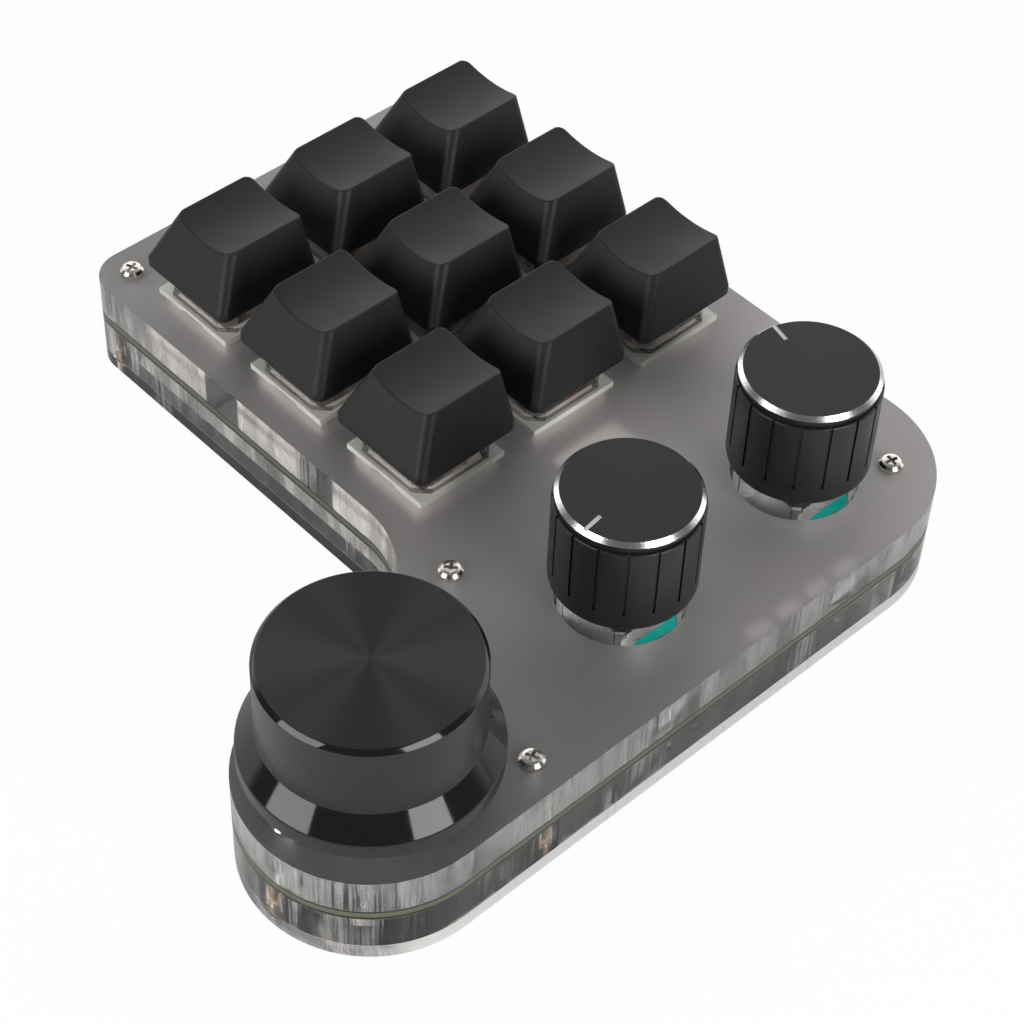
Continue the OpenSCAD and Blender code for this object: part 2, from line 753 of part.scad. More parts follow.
// Shaft with a flat for the knob and a square foot for the rotor
module shaft(k) {
    color([0.75, 0.75, 0.74]) at_encoder(k) rotate(FLAT_DEG[k]) {
        difference() {
            translate([0, 0, case_h]) cylinder(r = shaft_r, h = shaft_top_z - case_h);
            translate([shaft_r - shaft_flat, -shaft_d, encoder_h + bush_l + push_travel])
                cube([shaft_d, 2 * shaft_d, shaft_l]);
        }
        translate([0, 0, shaft_foot_z]) bar(square_w, square_w, encoder_h - shaft_foot_z);
    }
}

module encoder_pins() color([0.8, 0.8, 0.78]) for (k = [0:2], q = ENCODER_PINS)
    at_encoder(k) rotate(q[0] > 0 ? 0 : 180)
        translate([encoder_w / 2, q[0] * q[1] * encoder_pin_pitch, 0]) {
            translate([0, -encoder_pin_w / 2, encoder_pin_z])
                cube([encoder_pin_out, encoder_pin_w, encoder_pin_t]);
            translate([encoder_pin_out - encoder_pin_t, -encoder_pin_w / 2, -encoder_pin_l])
                cube([encoder_pin_t, encoder_pin_w, encoder_pin_l + encoder_pin_z + encoder_pin_t]);
        }

module push_contacts() color([0.8, 0.8, 0.78]) for (k = [0:2])
    at_encoder(k) translate([0, 0, dome_z]) cylinder(r = dome_r, h = dome_t);

// Bore of a knob, with the flat of the shaft
module shaft_bore(k, from_z) {
    rotate(FLAT_DEG[k]) difference() {
        translate([0, 0, from_z - cut]) cylinder(r = shaft_r + slip, h = bore_top_z - from_z + cut);
        translate([shaft_r - shaft_flat + slip, -shaft_d, from_z - 2 * cut])
            cube([shaft_d, 2 * shaft_d, bore_top_z - from_z + 3 * cut]);
    }
}

module big_knob() color([0.1, 0.1, 0.11]) translate([column_x, KNOB_Y[0], knob_z]) difference() {
    rotate_extrude() polygon([
        [0, 0], [big_skirt_d / 2, 0], [big_skirt_d / 2, big_rim_h],
        [big_d / 2, big_rim_h + big_slope_h], [big_d / 2, big_h - big_chamfer],
        [big_d / 2 - big_chamfer, big_h], [0, big_h]
    ]);
    translate([0, 0, -cut]) cylinder(d = big_recess_d, h = hub_z + cut);
    shaft_bore(0, hub_z);
    rotate(FLAT_DEG[0]) translate([0, 0, set_screw_z]) rotate([0, 90, 0])
        cylinder(r = set_screw_d / 2 + slip, h = big_skirt_d);
}

module big_knob_set_screw() color([0.2, 0.2, 0.2])
    translate([column_x, KNOB_Y[0], knob_z]) rotate(FLAT_DEG[0])
        translate([shaft_r - shaft_flat + slip, 0, set_screw_z]) rotate([0, 90, 0]) difference() {
            cylinder(d = set_screw_d, h = set_screw_l);
            translate([0, 0, set_screw_l - set_screw_d / 2])
                cylinder(r = set_screw_d / 4, h = set_screw_d, $fn = 6);
        }

// Ribbed plastic knob on shaft k, without its metal cap
module small_knob(k) {
    r = knob_d / 2;
    neck_z = knob_body_h - knob_neck_h;
    color([0.12, 0.12, 0.13]) translate([column_x, KNOB_Y[k], knob_z]) difference() {
        rotate_extrude() polygon(concat(
            [[0, 0]],
            [for (a = [-90:15:0]) [
                r - knob_foot_r + knob_foot_r * cos(a), knob_foot_r + knob_foot_r * sin(a)
            ]],
            [
                [r, neck_z - knob_lip], [r - knob_lip, neck_z], [knob_neck_d / 2, neck_z],
                [knob_neck_d / 2, knob_body_h], [0, knob_body_h]
            ]
        ));
        difference() {
            translate([0, 0, -cut]) cylinder(r = r - knob_wall, h = knob_body_h - knob_roof + cut);
            translate([0, 0, hub_z]) cylinder(d = knob_hub_d, h = knob_body_h);
        }
        shaft_bore(k, hub_z);
        for (i = [0:groove_count - 1]) rotate(GROOVE_DEG[k - 1] + i * 360 / groove_count)
            translate([r - groove_depth, -groove_w / 2, knob_band_h])
                cube([groove_depth + cut, groove_w, knob_body_h]);
    }
}

// Metal disc on top of a small knob, with a milled pointer line
module knob_cap(k) {
    r = knob_cap_d / 2;
    color([0.75, 0.75, 0.74]) translate([column_x, KNOB_Y[k], knob_z + knob_body_h]) difference() {
        rotate_extrude() polygon([
            [0, 0], [r, 0], [r, knob_cap_t - knob_chamfer], [r - knob_chamfer, knob_cap_t],
            [0, knob_cap_t]
        ]);
        rotate(POINTER_DEG[k - 1]) translate([
            r - knob_chamfer - pointer_l, -pointer_w / 2, knob_cap_t - pointer_depth
        ]) cube([pointer_l + knob_chamfer + cut, pointer_w, pointer_depth + cut]);
    }
}

base_plate();
base_frame();
circuit_board();
top_plate();
top_screws();
standoffs();
bottom_screws();
usb_socket();
controller_chip();
board_diodes();
switch_bases();
switch_covers();
switch_pins();
keycap(0);  // keycap_1
keycap(1);  // keycap_2
keycap(2);  // keycap_3
keycap(3);  // keycap_4
keycap(4);  // keycap_5
keycap(5);  // keycap_6
keycap(6);  // keycap_7
keycap(7);  // keycap_8
keycap(8);  // keycap_9
stem(0);  // stem_1
stem(1);  // stem_2
stem(2);  // stem_3
stem(3);  // stem_4
stem(4);  // stem_5
stem(5);  // stem_6
stem(6);  // stem_7
stem(7);  // stem_8
stem(8);  // stem_9
spring(0);  // spring_1
spring(1);  // spring_2
spring(2);  // spring_3
spring(3);  // spring_4
spring(4);  // spring_5
spring(5);  // spring_6
spring(6);  // spring_7
spring(7);  // spring_8
spring(8);  // spring_9
encoder_case(0);  // front_encoder_case
encoder_case(1);  // middle_encoder_case
encoder_case(2);  // rear_encoder_case
encoder_bracket(0);  // front_encoder_bracket
encoder_bracket(1);  // middle_encoder_bracket
encoder_bracket(2);  // rear_encoder_bracket
encoder_rotor(0);  // front_encoder_rotor
encoder_rotor(1);  // middle_encoder_rotor
encoder_rotor(2);  // rear_encoder_rotor
shaft(0);  // front_shaft
shaft(1);  // middle_shaft
shaft(2);  // rear_shaft
encoder_pins();
push_contacts();
big_knob();
big_knob_set_screw();
small_knob(1);  // middle_knob
small_knob(2);  // rear_knob
knob_cap(1);  // middle_knob_cap
knob_cap(2);  // rear_knob_cap
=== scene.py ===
"""Dresses a packed macro keypad: nine keys and three push knobs on layers of clear acrylic."""

import math

import bmesh
import bpy
from mathutils import Matrix, Vector


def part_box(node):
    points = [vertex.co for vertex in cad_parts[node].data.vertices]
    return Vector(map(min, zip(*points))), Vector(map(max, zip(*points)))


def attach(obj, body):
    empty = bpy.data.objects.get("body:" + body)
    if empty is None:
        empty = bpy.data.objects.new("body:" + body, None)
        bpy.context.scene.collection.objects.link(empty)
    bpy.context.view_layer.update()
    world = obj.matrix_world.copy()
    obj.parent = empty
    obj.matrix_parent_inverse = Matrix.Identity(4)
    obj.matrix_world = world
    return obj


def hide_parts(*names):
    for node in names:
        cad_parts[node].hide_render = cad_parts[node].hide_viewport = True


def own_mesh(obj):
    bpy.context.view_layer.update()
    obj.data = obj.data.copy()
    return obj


bl_info = {
    "name": "Macro keypad with knobs",
    "version": (1, 0, 0),
    "blender": (4, 5, 0),
    "location": "View3D > Sidebar > Keypad",
    "description": "Builds the looks of a macro keypad around its fixed frame",
    "category": "Object",
}

MM = 0.001
TINY = 1e-7
WELD = 1e-6  # vertices nearer than this are one
NEAR = 0.02 * MM  # faces nearer than this to a height or radius belong to it
UP = Vector((0, 0, 1))
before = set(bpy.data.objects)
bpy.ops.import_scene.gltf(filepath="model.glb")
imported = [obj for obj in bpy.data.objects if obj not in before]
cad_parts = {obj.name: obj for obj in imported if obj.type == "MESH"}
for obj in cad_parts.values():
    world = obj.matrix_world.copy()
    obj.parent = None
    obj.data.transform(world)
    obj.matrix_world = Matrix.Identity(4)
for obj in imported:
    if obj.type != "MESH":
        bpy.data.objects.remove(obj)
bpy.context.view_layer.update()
KEYS = range(1, 10)
DIALS = ("front", "middle", "rear")
SMALL_DIALS = DIALS[1:]
# Places on the keypad in millimetres, for patterns
FRONT_END, BACK_END = -58, 55
SWITCH_FIELD = (-50, 14, -9, 55)
SOCKET_MARK = (14.0, 23.5, 16.0, 28.0)
PALE_BARS = [(54.3, 56.1, y - 1.9, y + 1.9) for y in (15.2, 20.9, 26.5, 32.2)]


def box_middle(node):
    low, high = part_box(node)
    return (low + high) / 2


def plan_place(node):
    """Middle of a node seen from above, at height zero."""
    middle = box_middle(node)
    return Vector((middle.x, middle.y, 0))


def measures(node):
    """Level of a node's foot, its radius along x and its height."""
    low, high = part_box(node)
    return UP * low.z, (high.x - low.x) / 2, high.z - low.z


def toward(heading, rise=0.0):
    """Direction of a compass heading and a height over the horizon."""
    level = Vector((math.cos(heading), math.sin(heading), 0))
    return level * math.cos(rise) + UP * math.sin(rise)


def shade(tone, share):
    """A colour made darker or paler."""
    return tuple(share * c for c in tone)


def length(name, description, millimetres):
    settings = {"default": millimetres * MM, "min": 0, "unit": "LENGTH", "precision": 5}
    return bpy.props.FloatProperty(name=name, description=description, **settings)


def number(name, description, default):
    return bpy.props.FloatProperty(name=name, description=description, default=default)


def count(name, description, default):
    return bpy.props.IntProperty(name=name, description=description, default=default)


def angle(name, description, degrees):
    return bpy.props.FloatProperty(
        name=name, description=description, default=math.radians(degrees), subtype="ANGLE"
    )


def colour(name, description, *default):
    return bpy.props.FloatVectorProperty(
        name=name, description=description, default=default, size=3, min=0, max=1, subtype="COLOR"
    )


# ---- sizes and colours


class KeypadStage(bpy.types.PropertyGroup):
    azimuth: angle("Azimuth", "Turn of the camera round the keypad", 45.165)
    elevation: angle("Elevation", "Height of the camera over the horizon", 46.968)
    roll: angle("Roll", "Turn of the camera about its own line of sight", 2.732)
    distance: length("Distance", "From the camera to the point it looks at", 353.41)
    target: bpy.props.FloatVectorProperty(
        name="Target",
        description="Point that the camera looks at",
        default=(23.72 * MM, -1.30 * MM, 21.48 * MM),
        subtype="TRANSLATION",
    )
    lens: number("Lens", "Focal length in millimetres on a 36 mm sensor", 92.35)
    floor_size: length("Floor", "Side of the square floor", 4000)
    floor_glow: number("Floor glow", "Share of the floor that shows the background's white", 0.97)
    room_light: number("Room", "Light of the room in front and overhead", 0.15)
    wall_light: number("Wall", "Light of the pale wall behind", 1.9)
    wall_top: number("Wall top", "Light of the top of that wall", 0.4)
    left_beyond: number("Left", "Light on the left as seen through the sheets", 1.6)
    back_beyond: number("Back", "Light elsewhere as seen through the sheets", 0.5)
    floor_beyond: number("Floor beyond", "Light of the floor as seen through the sheets", 0.45)
    wall_heading: angle("Wall heading", "Compass heading of the wall", 130)
    left_power: number("Left light", "Power of the softbox on the front left, in watts", 3.4)
    left_heading: angle("Left heading", "Compass heading of that softbox", -99)
    left_width: length("Left width", "Width of that softbox", 470)
    right_power: number("Right light", "Power of the softbox on the right, in watts", 3.6)
    right_heading: angle("Right heading", "Compass heading of that softbox", 0)
    right_width: length("Right width", "Width of that softbox", 380)
    softbox_rise: angle("Softbox rise", "Height of both softboxes over the horizon", 24)
    softbox_height: length("Softbox height", "Height of both softboxes", 500)
    softbox_distance: length("Softbox distance", "From the keypad to either softbox", 800)


class KeypadAcrylic(bpy.types.PropertyGroup):
    contact_gap: length("Contact gap", "Air between two sheets that lie on each other", 0.02)
    frost: number("Frost", "Roughness of the frosted face", 0.46)
    haze: number("Haze", "Share of light that the frosted face scatters", 0.2)
    # Haze share ramps along the deck: painted shade at the front end, painted light at the back
    # end
    front_painted_shade: number("Front haze", "Times that share at the front end", 0.35)
    back_painted_light: number("Back haze", "Times that share at the back end", 2.3)
    opening_haze: number("Opening haze", "Share that the walls of the openings scatter", 0.5)
    streak_haze: number("Streak haze", "Share that the streaks of the cut scatter", 0.27)
    streak_depth: length("Streak depth", "Depth of the streaks of the cut", 0.07)
    sheet_bare: number("Bare sheets", "Share of the lower sheets' edges without streaks", 0.52)
    deck_bare: number("Bare deck", "Share of the top plate's edge without streaks", 0.45)
    # Share of the tint left in the painted dark reflections on the cut edges
    painted_reflection_share: number("Blots", "Share of the tint that is left in the dark blots of the edges", 0.36)
    ior: number("Refraction", "Index of refraction of the acrylic", 1.49)
    side_ior: number("Side refraction", "The same for the right side of the bottom sheet", 1.2)
    tint: colour("Tint", "Tint of the clear acrylic", 0.955, 0.945, 0.935)
    frame_tint: colour("Frame tint", "Tint of the thick frame", 0.8, 0.785, 0.765)
    haze_tint: colour("Haze tint", "Colour of the scattered light", 0.68, 0.645, 0.635)


class KeypadKeycaps(bpy.types.PropertyGroup):
    width: length("Width", "Side of the foot of a keycap", 18.1)
    height: length("Height", "Height of a keycap", 9.0)
    skirt: length("Skirt", "Height of the upright band", 1.3)
    front_lean: length("Front lean", "How far the front face leans in", 4.2)
    back_lean: length("Back lean", "How far the back face leans in", 0.4)
    side_lean: length("Side lean", "How far each side leans in", 2.85)
    corner: length("Corner", "Radius of the upright corners", 1.35)
    corner_steps: count("Corner steps", "Faces round an upright corner", 8)
    strips: count("Strips", "Strips across the hollow of the top", 14)
    dish: length("Dish", "Depth of the hollow along the top", 1.0)
    rim: length("Rim", "Rounding of the edge of the top", 0.22)
    wall: length("Wall", "Wall of a keycap", 1.4)
    room: length("Room", "Height of the room inside", 6.3)
    post_radius: length("Post", "Radius of the post that grips the stem", 2.8)
    post_foot: length("Post foot", "Height of the foot of the post", 0.7)
    cross_span: length("Cross", "Span of the cross socket", 4.1)
    cross_arm: length("Arm", "Width of the arms of the cross socket", 1.3)
    cross_depth: length("Socket", "Height of the top of the cross socket", 4.4)
    black: colour("Black", "Colour of the keycaps", 0.008, 0.008, 0.0085)


class KeypadSprings(bpy.types.PropertyGroup):
    wire: length("Wire", "Thickness of the spring wire", 0.4)
    turns: count("Turns", "Turns of a key spring", 9)
    keep: number("Keep", "Share of a spring's length that is left at full travel", 0.5516)


class KeypadEncoders(bpy.types.PropertyGroup):
    fold_width: length("Fold width", "Width of the bracket's folds at the corners", 0.95)
    fold_sheet: length("Fold sheet", "Sheet thickness of the folds", 0.36)
    fold_foot: length("Fold foot", "Height of the foot of the folds", 0.6)
    lip_foot: length("Lip foot", "Height of the lower edge of the bracket's lips", 4.8)
    apron: length("Apron", "Sheet that hangs below that edge", 1.3)


class KeypadBigKnob(bpy.types.PropertyGroup):
    radius: length("Radius", "Radius of the body", 14.5)
    skirt_radius: length("Skirt radius", "Radius of the skirt", 17.0)
    rim: length("Rim", "Height of the upright rim", 2.4)
    slope: length("Slope", "Height of the sloping band", 3.4)
    gloss: length("Gloss", "How far the gloss of that band reaches over the rim", 0.2)
    chamfer: length("Chamfer", "Polished chamfer round the top", 0.6)
    skirt_round: length("Skirt round", "Rounding of the skirt's edges", 0.25)
    slope_round: length("Slope round", "Rounding where the slope meets the body", 0.12)
    top_round: length("Top round", "Rounding of the chamfer's edges", 0.06)
    recess_radius: length("Recess radius", "Radius of the recess underneath", 12.0)
    recess: length("Recess", "Depth of the recess underneath", 2.7)
    bore_radius: length("Bore", "Radius of the shaft bore", 3.06)
    bore_top: length("Bore top", "Height of the end of the bore", 11.95)
    screw_radius: length("Screw hole", "Radius of the set screw hole", 1.55)
    black: colour("Black", "Colour of the black metal", 0.008, 0.008, 0.0085)


class KeypadSmallKnobs(bpy.types.PropertyGroup):
    radius: length("Radius", "Radius over the ribs", 10.15)
    foot: length("Foot", "Rounding of the bottom edge", 0.9)
    lip: length("Lip", "Bevel at the top of the ribs", 0.3)
    neck_radius: length("Neck radius", "Radius of the neck under the cap", 9.6)
    neck: length("Neck", "Height of the neck", 0.7)
    wall: length("Wall", "Wall of the knob", 1.8)
    roof: length("Roof", "Thickness of the top", 1.6)
    hub_radius: length("Hub", "Radius of the hub", 4.8)
    hub_foot: length("Hub foot", "Height of the foot of the hub", 2.7)
    bore_radius: length("Bore", "Radius of the shaft bore", 3.06)
    bore_top: length("Bore top", "Height of the end of the bore", 11.95)
    grooves: count("Grooves", "Grooves round a knob", 16)
    groove_width: length("Groove width", "Width of a groove", 0.45)
    groove_depth: length("Groove depth", "Depth of a groove", 0.32)
    groove_foot: length("Groove foot", "Height of the smooth band below", 3.2)
    middle_groove: angle("Middle grooves", "Turn of the grooves of the middle knob", -45)
    rear_groove: angle("Rear grooves", "Turn of the grooves of the rear knob", -53)
    cap_chamfer: length("Cap chamfer", "Bright chamfer round the metal cap", 0.6)
    pointer_length: length("Pointer length", "Length of the pointer line", 3.0)
    pointer_width: length("Pointer width", "Width of the pointer line", 0.6)
    pointer_depth: length("Pointer depth", "Depth of the pointer line", 0.2)
    middle_pointer: angle("Middle pointer", "Direction of the middle pointer", -82.5)
    rear_pointer: angle("Rear pointer", "Direction of the rear pointer", 166)


# ---- shader writing


class Wire:
    """Output of a shader node. Sums on it add Math nodes."""

    def __init__(self, finish, socket):
        self.finish = finish
        self.socket = socket

    def math(self, operation, *values):
        return self.finish.node(
            "ShaderNodeMath", {"operation": operation}, dict(enumerate((self, *values)))
        )

    def __add__(self, other):
        return self.math("ADD", other)

    def __mul__(self, other):
        return self.math("MULTIPLY", other)

    def __rsub__(self, other):
        return self * -1 + other

    def __abs__(self):
        return self.math("ABSOLUTE")

    def __lt__(self, other):
        return self.math("LESS_THAN", other)

    def __gt__(self, other):
        return self.math("GREATER_THAN", other)

    def __and__(self, other):
        return self.math("MINIMUM", other)

    def __or__(self, other):
        return self.math("MAXIMUM", other)

    __radd__ = __add__
    __rmul__ = __mul__


class Finish:
    """A node tree under construction. Its patterns are laid out in millimetres."""

    def __init__(self, tree):
        self.tree = tree
        tree.nodes.clear()

    @classmethod
    def of(cls, name):
        material = bpy.data.materials.new(name)
        material.use_nodes = True
        made = cls(material.node_tree)
        made.material = material
        return made

    def node(self, kind, settings=None, sockets=None, out=0):
        """Adds a node with its settings and sockets, and returns one output or several."""
        added = self.tree.nodes.new(kind)
        for name, value in (settings or {}).items():
            setattr(added, name, value)
        for key, value in (sockets or {}).items():
            if isinstance(value, Wire):
                self.tree.links.new(value.socket, added.inputs[key])
            else:
                added.inputs[key].default_value = value
        if isinstance(out, tuple):
            return [Wire(self, added.outputs[name]) for name in out]
        return Wire(self, added.outputs[out]) if added.outputs else None

    def place(self, centre=(0, 0, 0), stretch=(1, 1, 1)):
        """Object coordinates in millimetres, from a centre."""
        spot = self.node("ShaderNodeTexCoord", out="Object")
        sockets = {"Vector": spot, "Location": tuple(centre), "Scale": shade(stretch, MM)}
        return self.node("ShaderNodeMapping", {"vector_type": "TEXTURE"}, sockets)

    def axes(self, vector):
        return self.node("ShaderNodeSeparateXYZ", sockets={0: vector}, out=("X", "Y", "Z"))

    def lying(self):
        """1 on level faces, 0 on upright ones."""
        normal = self.node("ShaderNodeNewGeometry", out="True Normal")
        return abs(self.axes(normal)[2]) > 0.9

    def noise(self, vector, scale, detail=2.0, roughness=0.5):
        sockets = {"Vector": vector, "Scale": scale, "Detail": detail, "Roughness": roughness}
        return self.node("ShaderNodeTexNoise", sockets=sockets)

    def spread(self, value, low, high, to_low=0.0, to_high=1.0):
        """Carries a range of a value over to another range, with soft ends."""
        return self.node(
            "ShaderNodeMapRange",
            {"interpolation_type": "SMOOTHSTEP"},
            {0: value, 1: low, 2: high, 3: to_low, 4: to_high},
        )

    def within(self, x, y, x0, x1, y0, y1):
        return (x > x0) & (x < x1) & (y > y0) & (y < y1)

    def tone(self, value):
        """A link as it is, or a colour with the fourth number that sockets want."""
        return value if isinstance(value, Wire) else (*value, 1)

    def blend(self, factor, first, second):
        sockets = {0: factor, 6: self.tone(first), 7: self.tone(second)}
        return self.node("ShaderNodeMix", {"data_type": "RGBA"}, sockets, out=2)

    def bump(self, height, depth, strength=1.0):
        sockets = {"Height": height, "Distance": depth, "Strength": strength}
        return self.node("ShaderNodeBump", sockets=sockets)

    def shader(self, **sockets):
        named = {key.replace("_", " "): value for key, value in sockets.items()}
        named["Base Color"] = self.tone(named["Base Color"])
        return self.node("ShaderNodeBsdfPrincipled", sockets=named)

    def eye(self):
        """1 for what the camera sees, and 1 for what it sees through clear material."""
        rays = ("Is Camera Ray", "Is Transmission Ray")
        return self.node("ShaderNodeLightPath", out=rays)

    def mix(self, factor, first, second):
        return self.node("ShaderNodeMixShader", sockets={0: factor, 1: first, 2: second})

    def lamps_through(self, shader, tint):
        """Lets the light of lamps pass, so that what is behind clear material is lit."""
        lamp_ray = self.node("ShaderNodeLightPath", out="Is Shadow Ray")
        clear = self.node("ShaderNodeBsdfTransparent", sockets={"Color": self.tone(tint)})
        return self.mix(lamp_ray, shader, clear)

    def done(self, shader):
        self.node("ShaderNodeOutputMaterial", sockets={"Surface": shader})
        return self.material

    def surface(self, **sockets):
        return self.done(self.shader(**sockets))


# ---- mesh helpers


def mesh_of(name, bm):
    mesh = bpy.data.meshes.new(name)
    bm.to_mesh(mesh)
    bm.free()
    return mesh


def bmesh_of(mesh):
    bm = bmesh.new()
    bm.from_mesh(mesh)
    return bm


def weld(bm):
    bmesh.ops.remove_doubles(bm, verts=bm.verts, dist=WELD)


def placed(name, data):
    """New object in the scene."""
    thing = bpy.data.objects.new(name, data)
    bpy.context.scene.collection.objects.link(thing)
    return thing


def add_piece(name, bm, body, slot, *finishes, crease=30, even=True):
    """Turns a bmesh into a piece that rides on a body. Edges sharper than the crease, in
    degrees, stay sharp."""
    for edge in bm.edges:
        edge.smooth = edge.calc_face_angle(math.pi) < math.radians(crease)
    for face in bm.faces:
        face.smooth = True
    mesh = mesh_of(name, bm)
    stored = mesh.attributes.get("custom_normal")
    if stored:
        mesh.attributes.remove(stored)
    for finish in finishes:
        mesh.materials.append(finish)
    piece = placed(name, mesh)
    if even:
        shading = piece.modifiers.new("Even shading", "WEIGHTED_NORMAL")
        shading.keep_sharp = True
    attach(piece, body)
    return piece


def merged_copy(node):
    """CAD node's mesh as a bmesh whose loose triangles are joined."""
    bm = bmesh_of(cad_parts[node].data)
    weld(bm)
    return bm


def paint(finish, *nodes):
    """Gives CAD nodes a finish of their own."""
    for node in nodes:
        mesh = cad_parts[node].data
        mesh.materials.clear()
        mesh.materials.append(finish)


def spun(profile, segments):
    """Solid of revolution of a closed profile of (radius, height) points."""
    bm = bmesh.new()
    points = [bm.verts.new((r, 0, z)) for r, z in profile]
    for first, second in zip(points, points[1:]):
        bm.edges.new((first, second))
    bmesh.ops.spin(
        bm,
        geom=bm.verts[:] + bm.edges[:],
        axis=UP,
        angle=math.tau,
        steps=segments,
        use_merge=True,
    )
    weld(bm)
    bmesh.ops.recalc_face_normals(bm, faces=bm.faces)
    return bm


def ring_edges(bm, radius, height):
    """Edges of a spun solid that run round it at one radius and height."""

    def off_ring(place):
        return max(abs(math.hypot(place.x, place.y) - radius), abs(place.z - height))

    return [e for e in bm.edges if all(off_ring(v.co) < 10 * WELD for v in e.verts)]


def rounded(bm, edges, rounding, segments):
    bmesh.ops.bevel(
        bm,
        geom=edges,
        offset=rounding,
        segments=segments,
        profile=0.5,
        affect="EDGES",
        clamp_overlap=True,
        material=-1,
    )


def round_rings(bm, rings, segments=3):
    """Rounds the edges of a spun solid: rings are (radius, height, rounding)."""
    for radius, height, rounding in rings:
        rounded(bm, ring_edges(bm, radius, height), rounding, segments)


def moved(bm, place):
    bmesh.ops.translate(bm, vec=place, verts=bm.verts)


def bar(bm, size, centre, turn=0.0):
    """Adds a block, turned about the upright through the origin."""
    made = bmesh.ops.create_cube(bm, size=1)["verts"]
    bmesh.ops.scale(bm, vec=size, verts=made)
    bmesh.ops.translate(bm, vec=centre, verts=made)
    bmesh.ops.rotate(bm, verts=made, matrix=Matrix.Rotation(turn, 3, "Z"))


def rod(radius, depth, segments, matrix):
    """Bar of round section, as a new bmesh."""
    bm = bmesh.new()
    bmesh.ops.create_cone(
        bm,
        cap_ends=True,
        segments=segments,
        radius1=radius,
        radius2=radius,
        depth=depth,
        matrix=matrix,
    )
    return bm


def carved(bm, cutter):
    """The first bmesh less the second, as a new bmesh."""
    stock, tool = (placed("carving", mesh_of("carving", part)) for part in (bm, cutter))
    cut = stock.modifiers.new("Cut", "BOOLEAN")
    cut.operation = "DIFFERENCE"
    cut.solver = "EXACT"
    cut.object = tool
    bpy.context.view_layer.update()
    result = bpy.data.meshes.new_from_object(
        stock.evaluated_get(bpy.context.evaluated_depsgraph_get())
    )
    out = bmesh_of(result)
    for mesh in (stock.data, tool.data, result):
        bpy.data.meshes.remove(mesh)
    weld(out)
    return out


# ---- finishes


def laser_streaks(f, bare):
    """Fine upright streaks of a laser cut, in patches along the edges."""
    lines = f.noise(f.place(stretch=(1, 1, 60)), 1.6, detail=4, roughness=0.75)
    patches = f.noise(f.place(stretch=(1, 1, 2)), 0.12)
    streaked = f.spread(patches, bare, bare + 0.12, 0.06, 1.0)
    return f.spread(lines, 0.46, 0.58) * streaked * (1 - f.lying())


def edge_tone(f, look, tint, clean):
    """Tint with painted dark reflections, in blots on the cut edges where the insides are
    mirrored many times.
    """
    painted_reflection_blots = f.noise(f.place(stretch=(1, 1, 4)), 0.3, detail=4, roughness=0.6)
    # Painted reflection: dark blots on upright faces stand in for the dark insides mirrored in
    # the edges
    return f.blend(f.spread(painted_reflection_blots, 0.42, 0.56) | clean, shade(tint, look.painted_reflection_share), tint)


def clear_acrylic(look, tint, pale_side=False):
    """Polished acrylic with laser cut edges. The thin bottom sheet shows the table through
    its right side."""
    f = Finish.of("clear_sheet" if pale_side else "clear_acrylic")
    spot = f.place()
    streaks = laser_streaks(f, look.sheet_bare)
    ripples = f.noise(spot, 0.12)
    smears = f.noise(spot, 0.3, detail=3)
    pale = f.lying()
    if pale_side:
        side = f.axes(f.node("ShaderNodeNewGeometry", out="Normal"))[0]
        pale = f.spread(side, 0.75, 0.97) | pale
    look_of = dict(
        # Base colour carries the painted dark reflections of the edges
        Base_Color=edge_tone(f, look, tint, pale),
        Roughness=f.spread(smears, 0.3, 0.8, 0.02, 0.1),
        Transmission_Weight=1.0,
        Normal=f.bump(streaks + ripples * 0.3, look.streak_depth),
    )
    glass = f.shader(IOR=look.ior, **look_of)
    if pale_side:
        glass = f.mix(pale, glass, f.shader(IOR=look.side_ior, **look_of))
    haze = f.shader(Base_Color=look.haze_tint, Roughness=0.6)
    glass = f.mix(streaks * look.streak_haze, glass, haze)
    return f.done(f.lamps_through(glass, tint))


def frosted_acrylic(look, deck_z):
    """Acrylic sheet with a frosted top face and polished edges."""
    f = Finish.of("frosted_acrylic")
    spot = f.place()
    x, y, height = f.axes(spot)
    lying = f.lying()
    top = (height > deck_z / MM - 0.12) & lying
    streaks = laser_streaks(f, look.deck_bare)
    grain = f.noise(spot, 9.0, detail=3, roughness=0.6)
    cloud = f.noise(spot, 0.05)
    normal = f.bump(streaks + grain * top * 0.12, look.streak_depth)
    glass = f.shader(
        # Base colour carries the painted dark reflections of the edges
        Base_Color=edge_tone(f, look, look.tint, lying),
        Roughness=top * look.frost + f.spread(cloud, 0.3, 0.7, 0.04, 0.12),
        IOR=look.ior,
        Transmission_Weight=1.0,
        Normal=normal,
    )
    haze = f.shader(Base_Color=look.haze_tint, Roughness=0.6, Normal=normal)
    # Painted light: more haze towards the back end lightens the deck, less towards the front
    # darkens it
    depth = f.spread(y, FRONT_END, BACK_END, look.front_painted_shade, look.back_painted_light)
    share = top * f.spread(grain, 0.2, 0.8, look.haze * 0.85, look.haze * 1.25) * depth
    openings = (1 - lying) & f.within(x, y, *SWITCH_FIELD)
    share = share | openings * look.opening_haze | streaks * look.streak_haze
    return f.done(f.lamps_through(f.mix(share, glass, haze), look.tint))


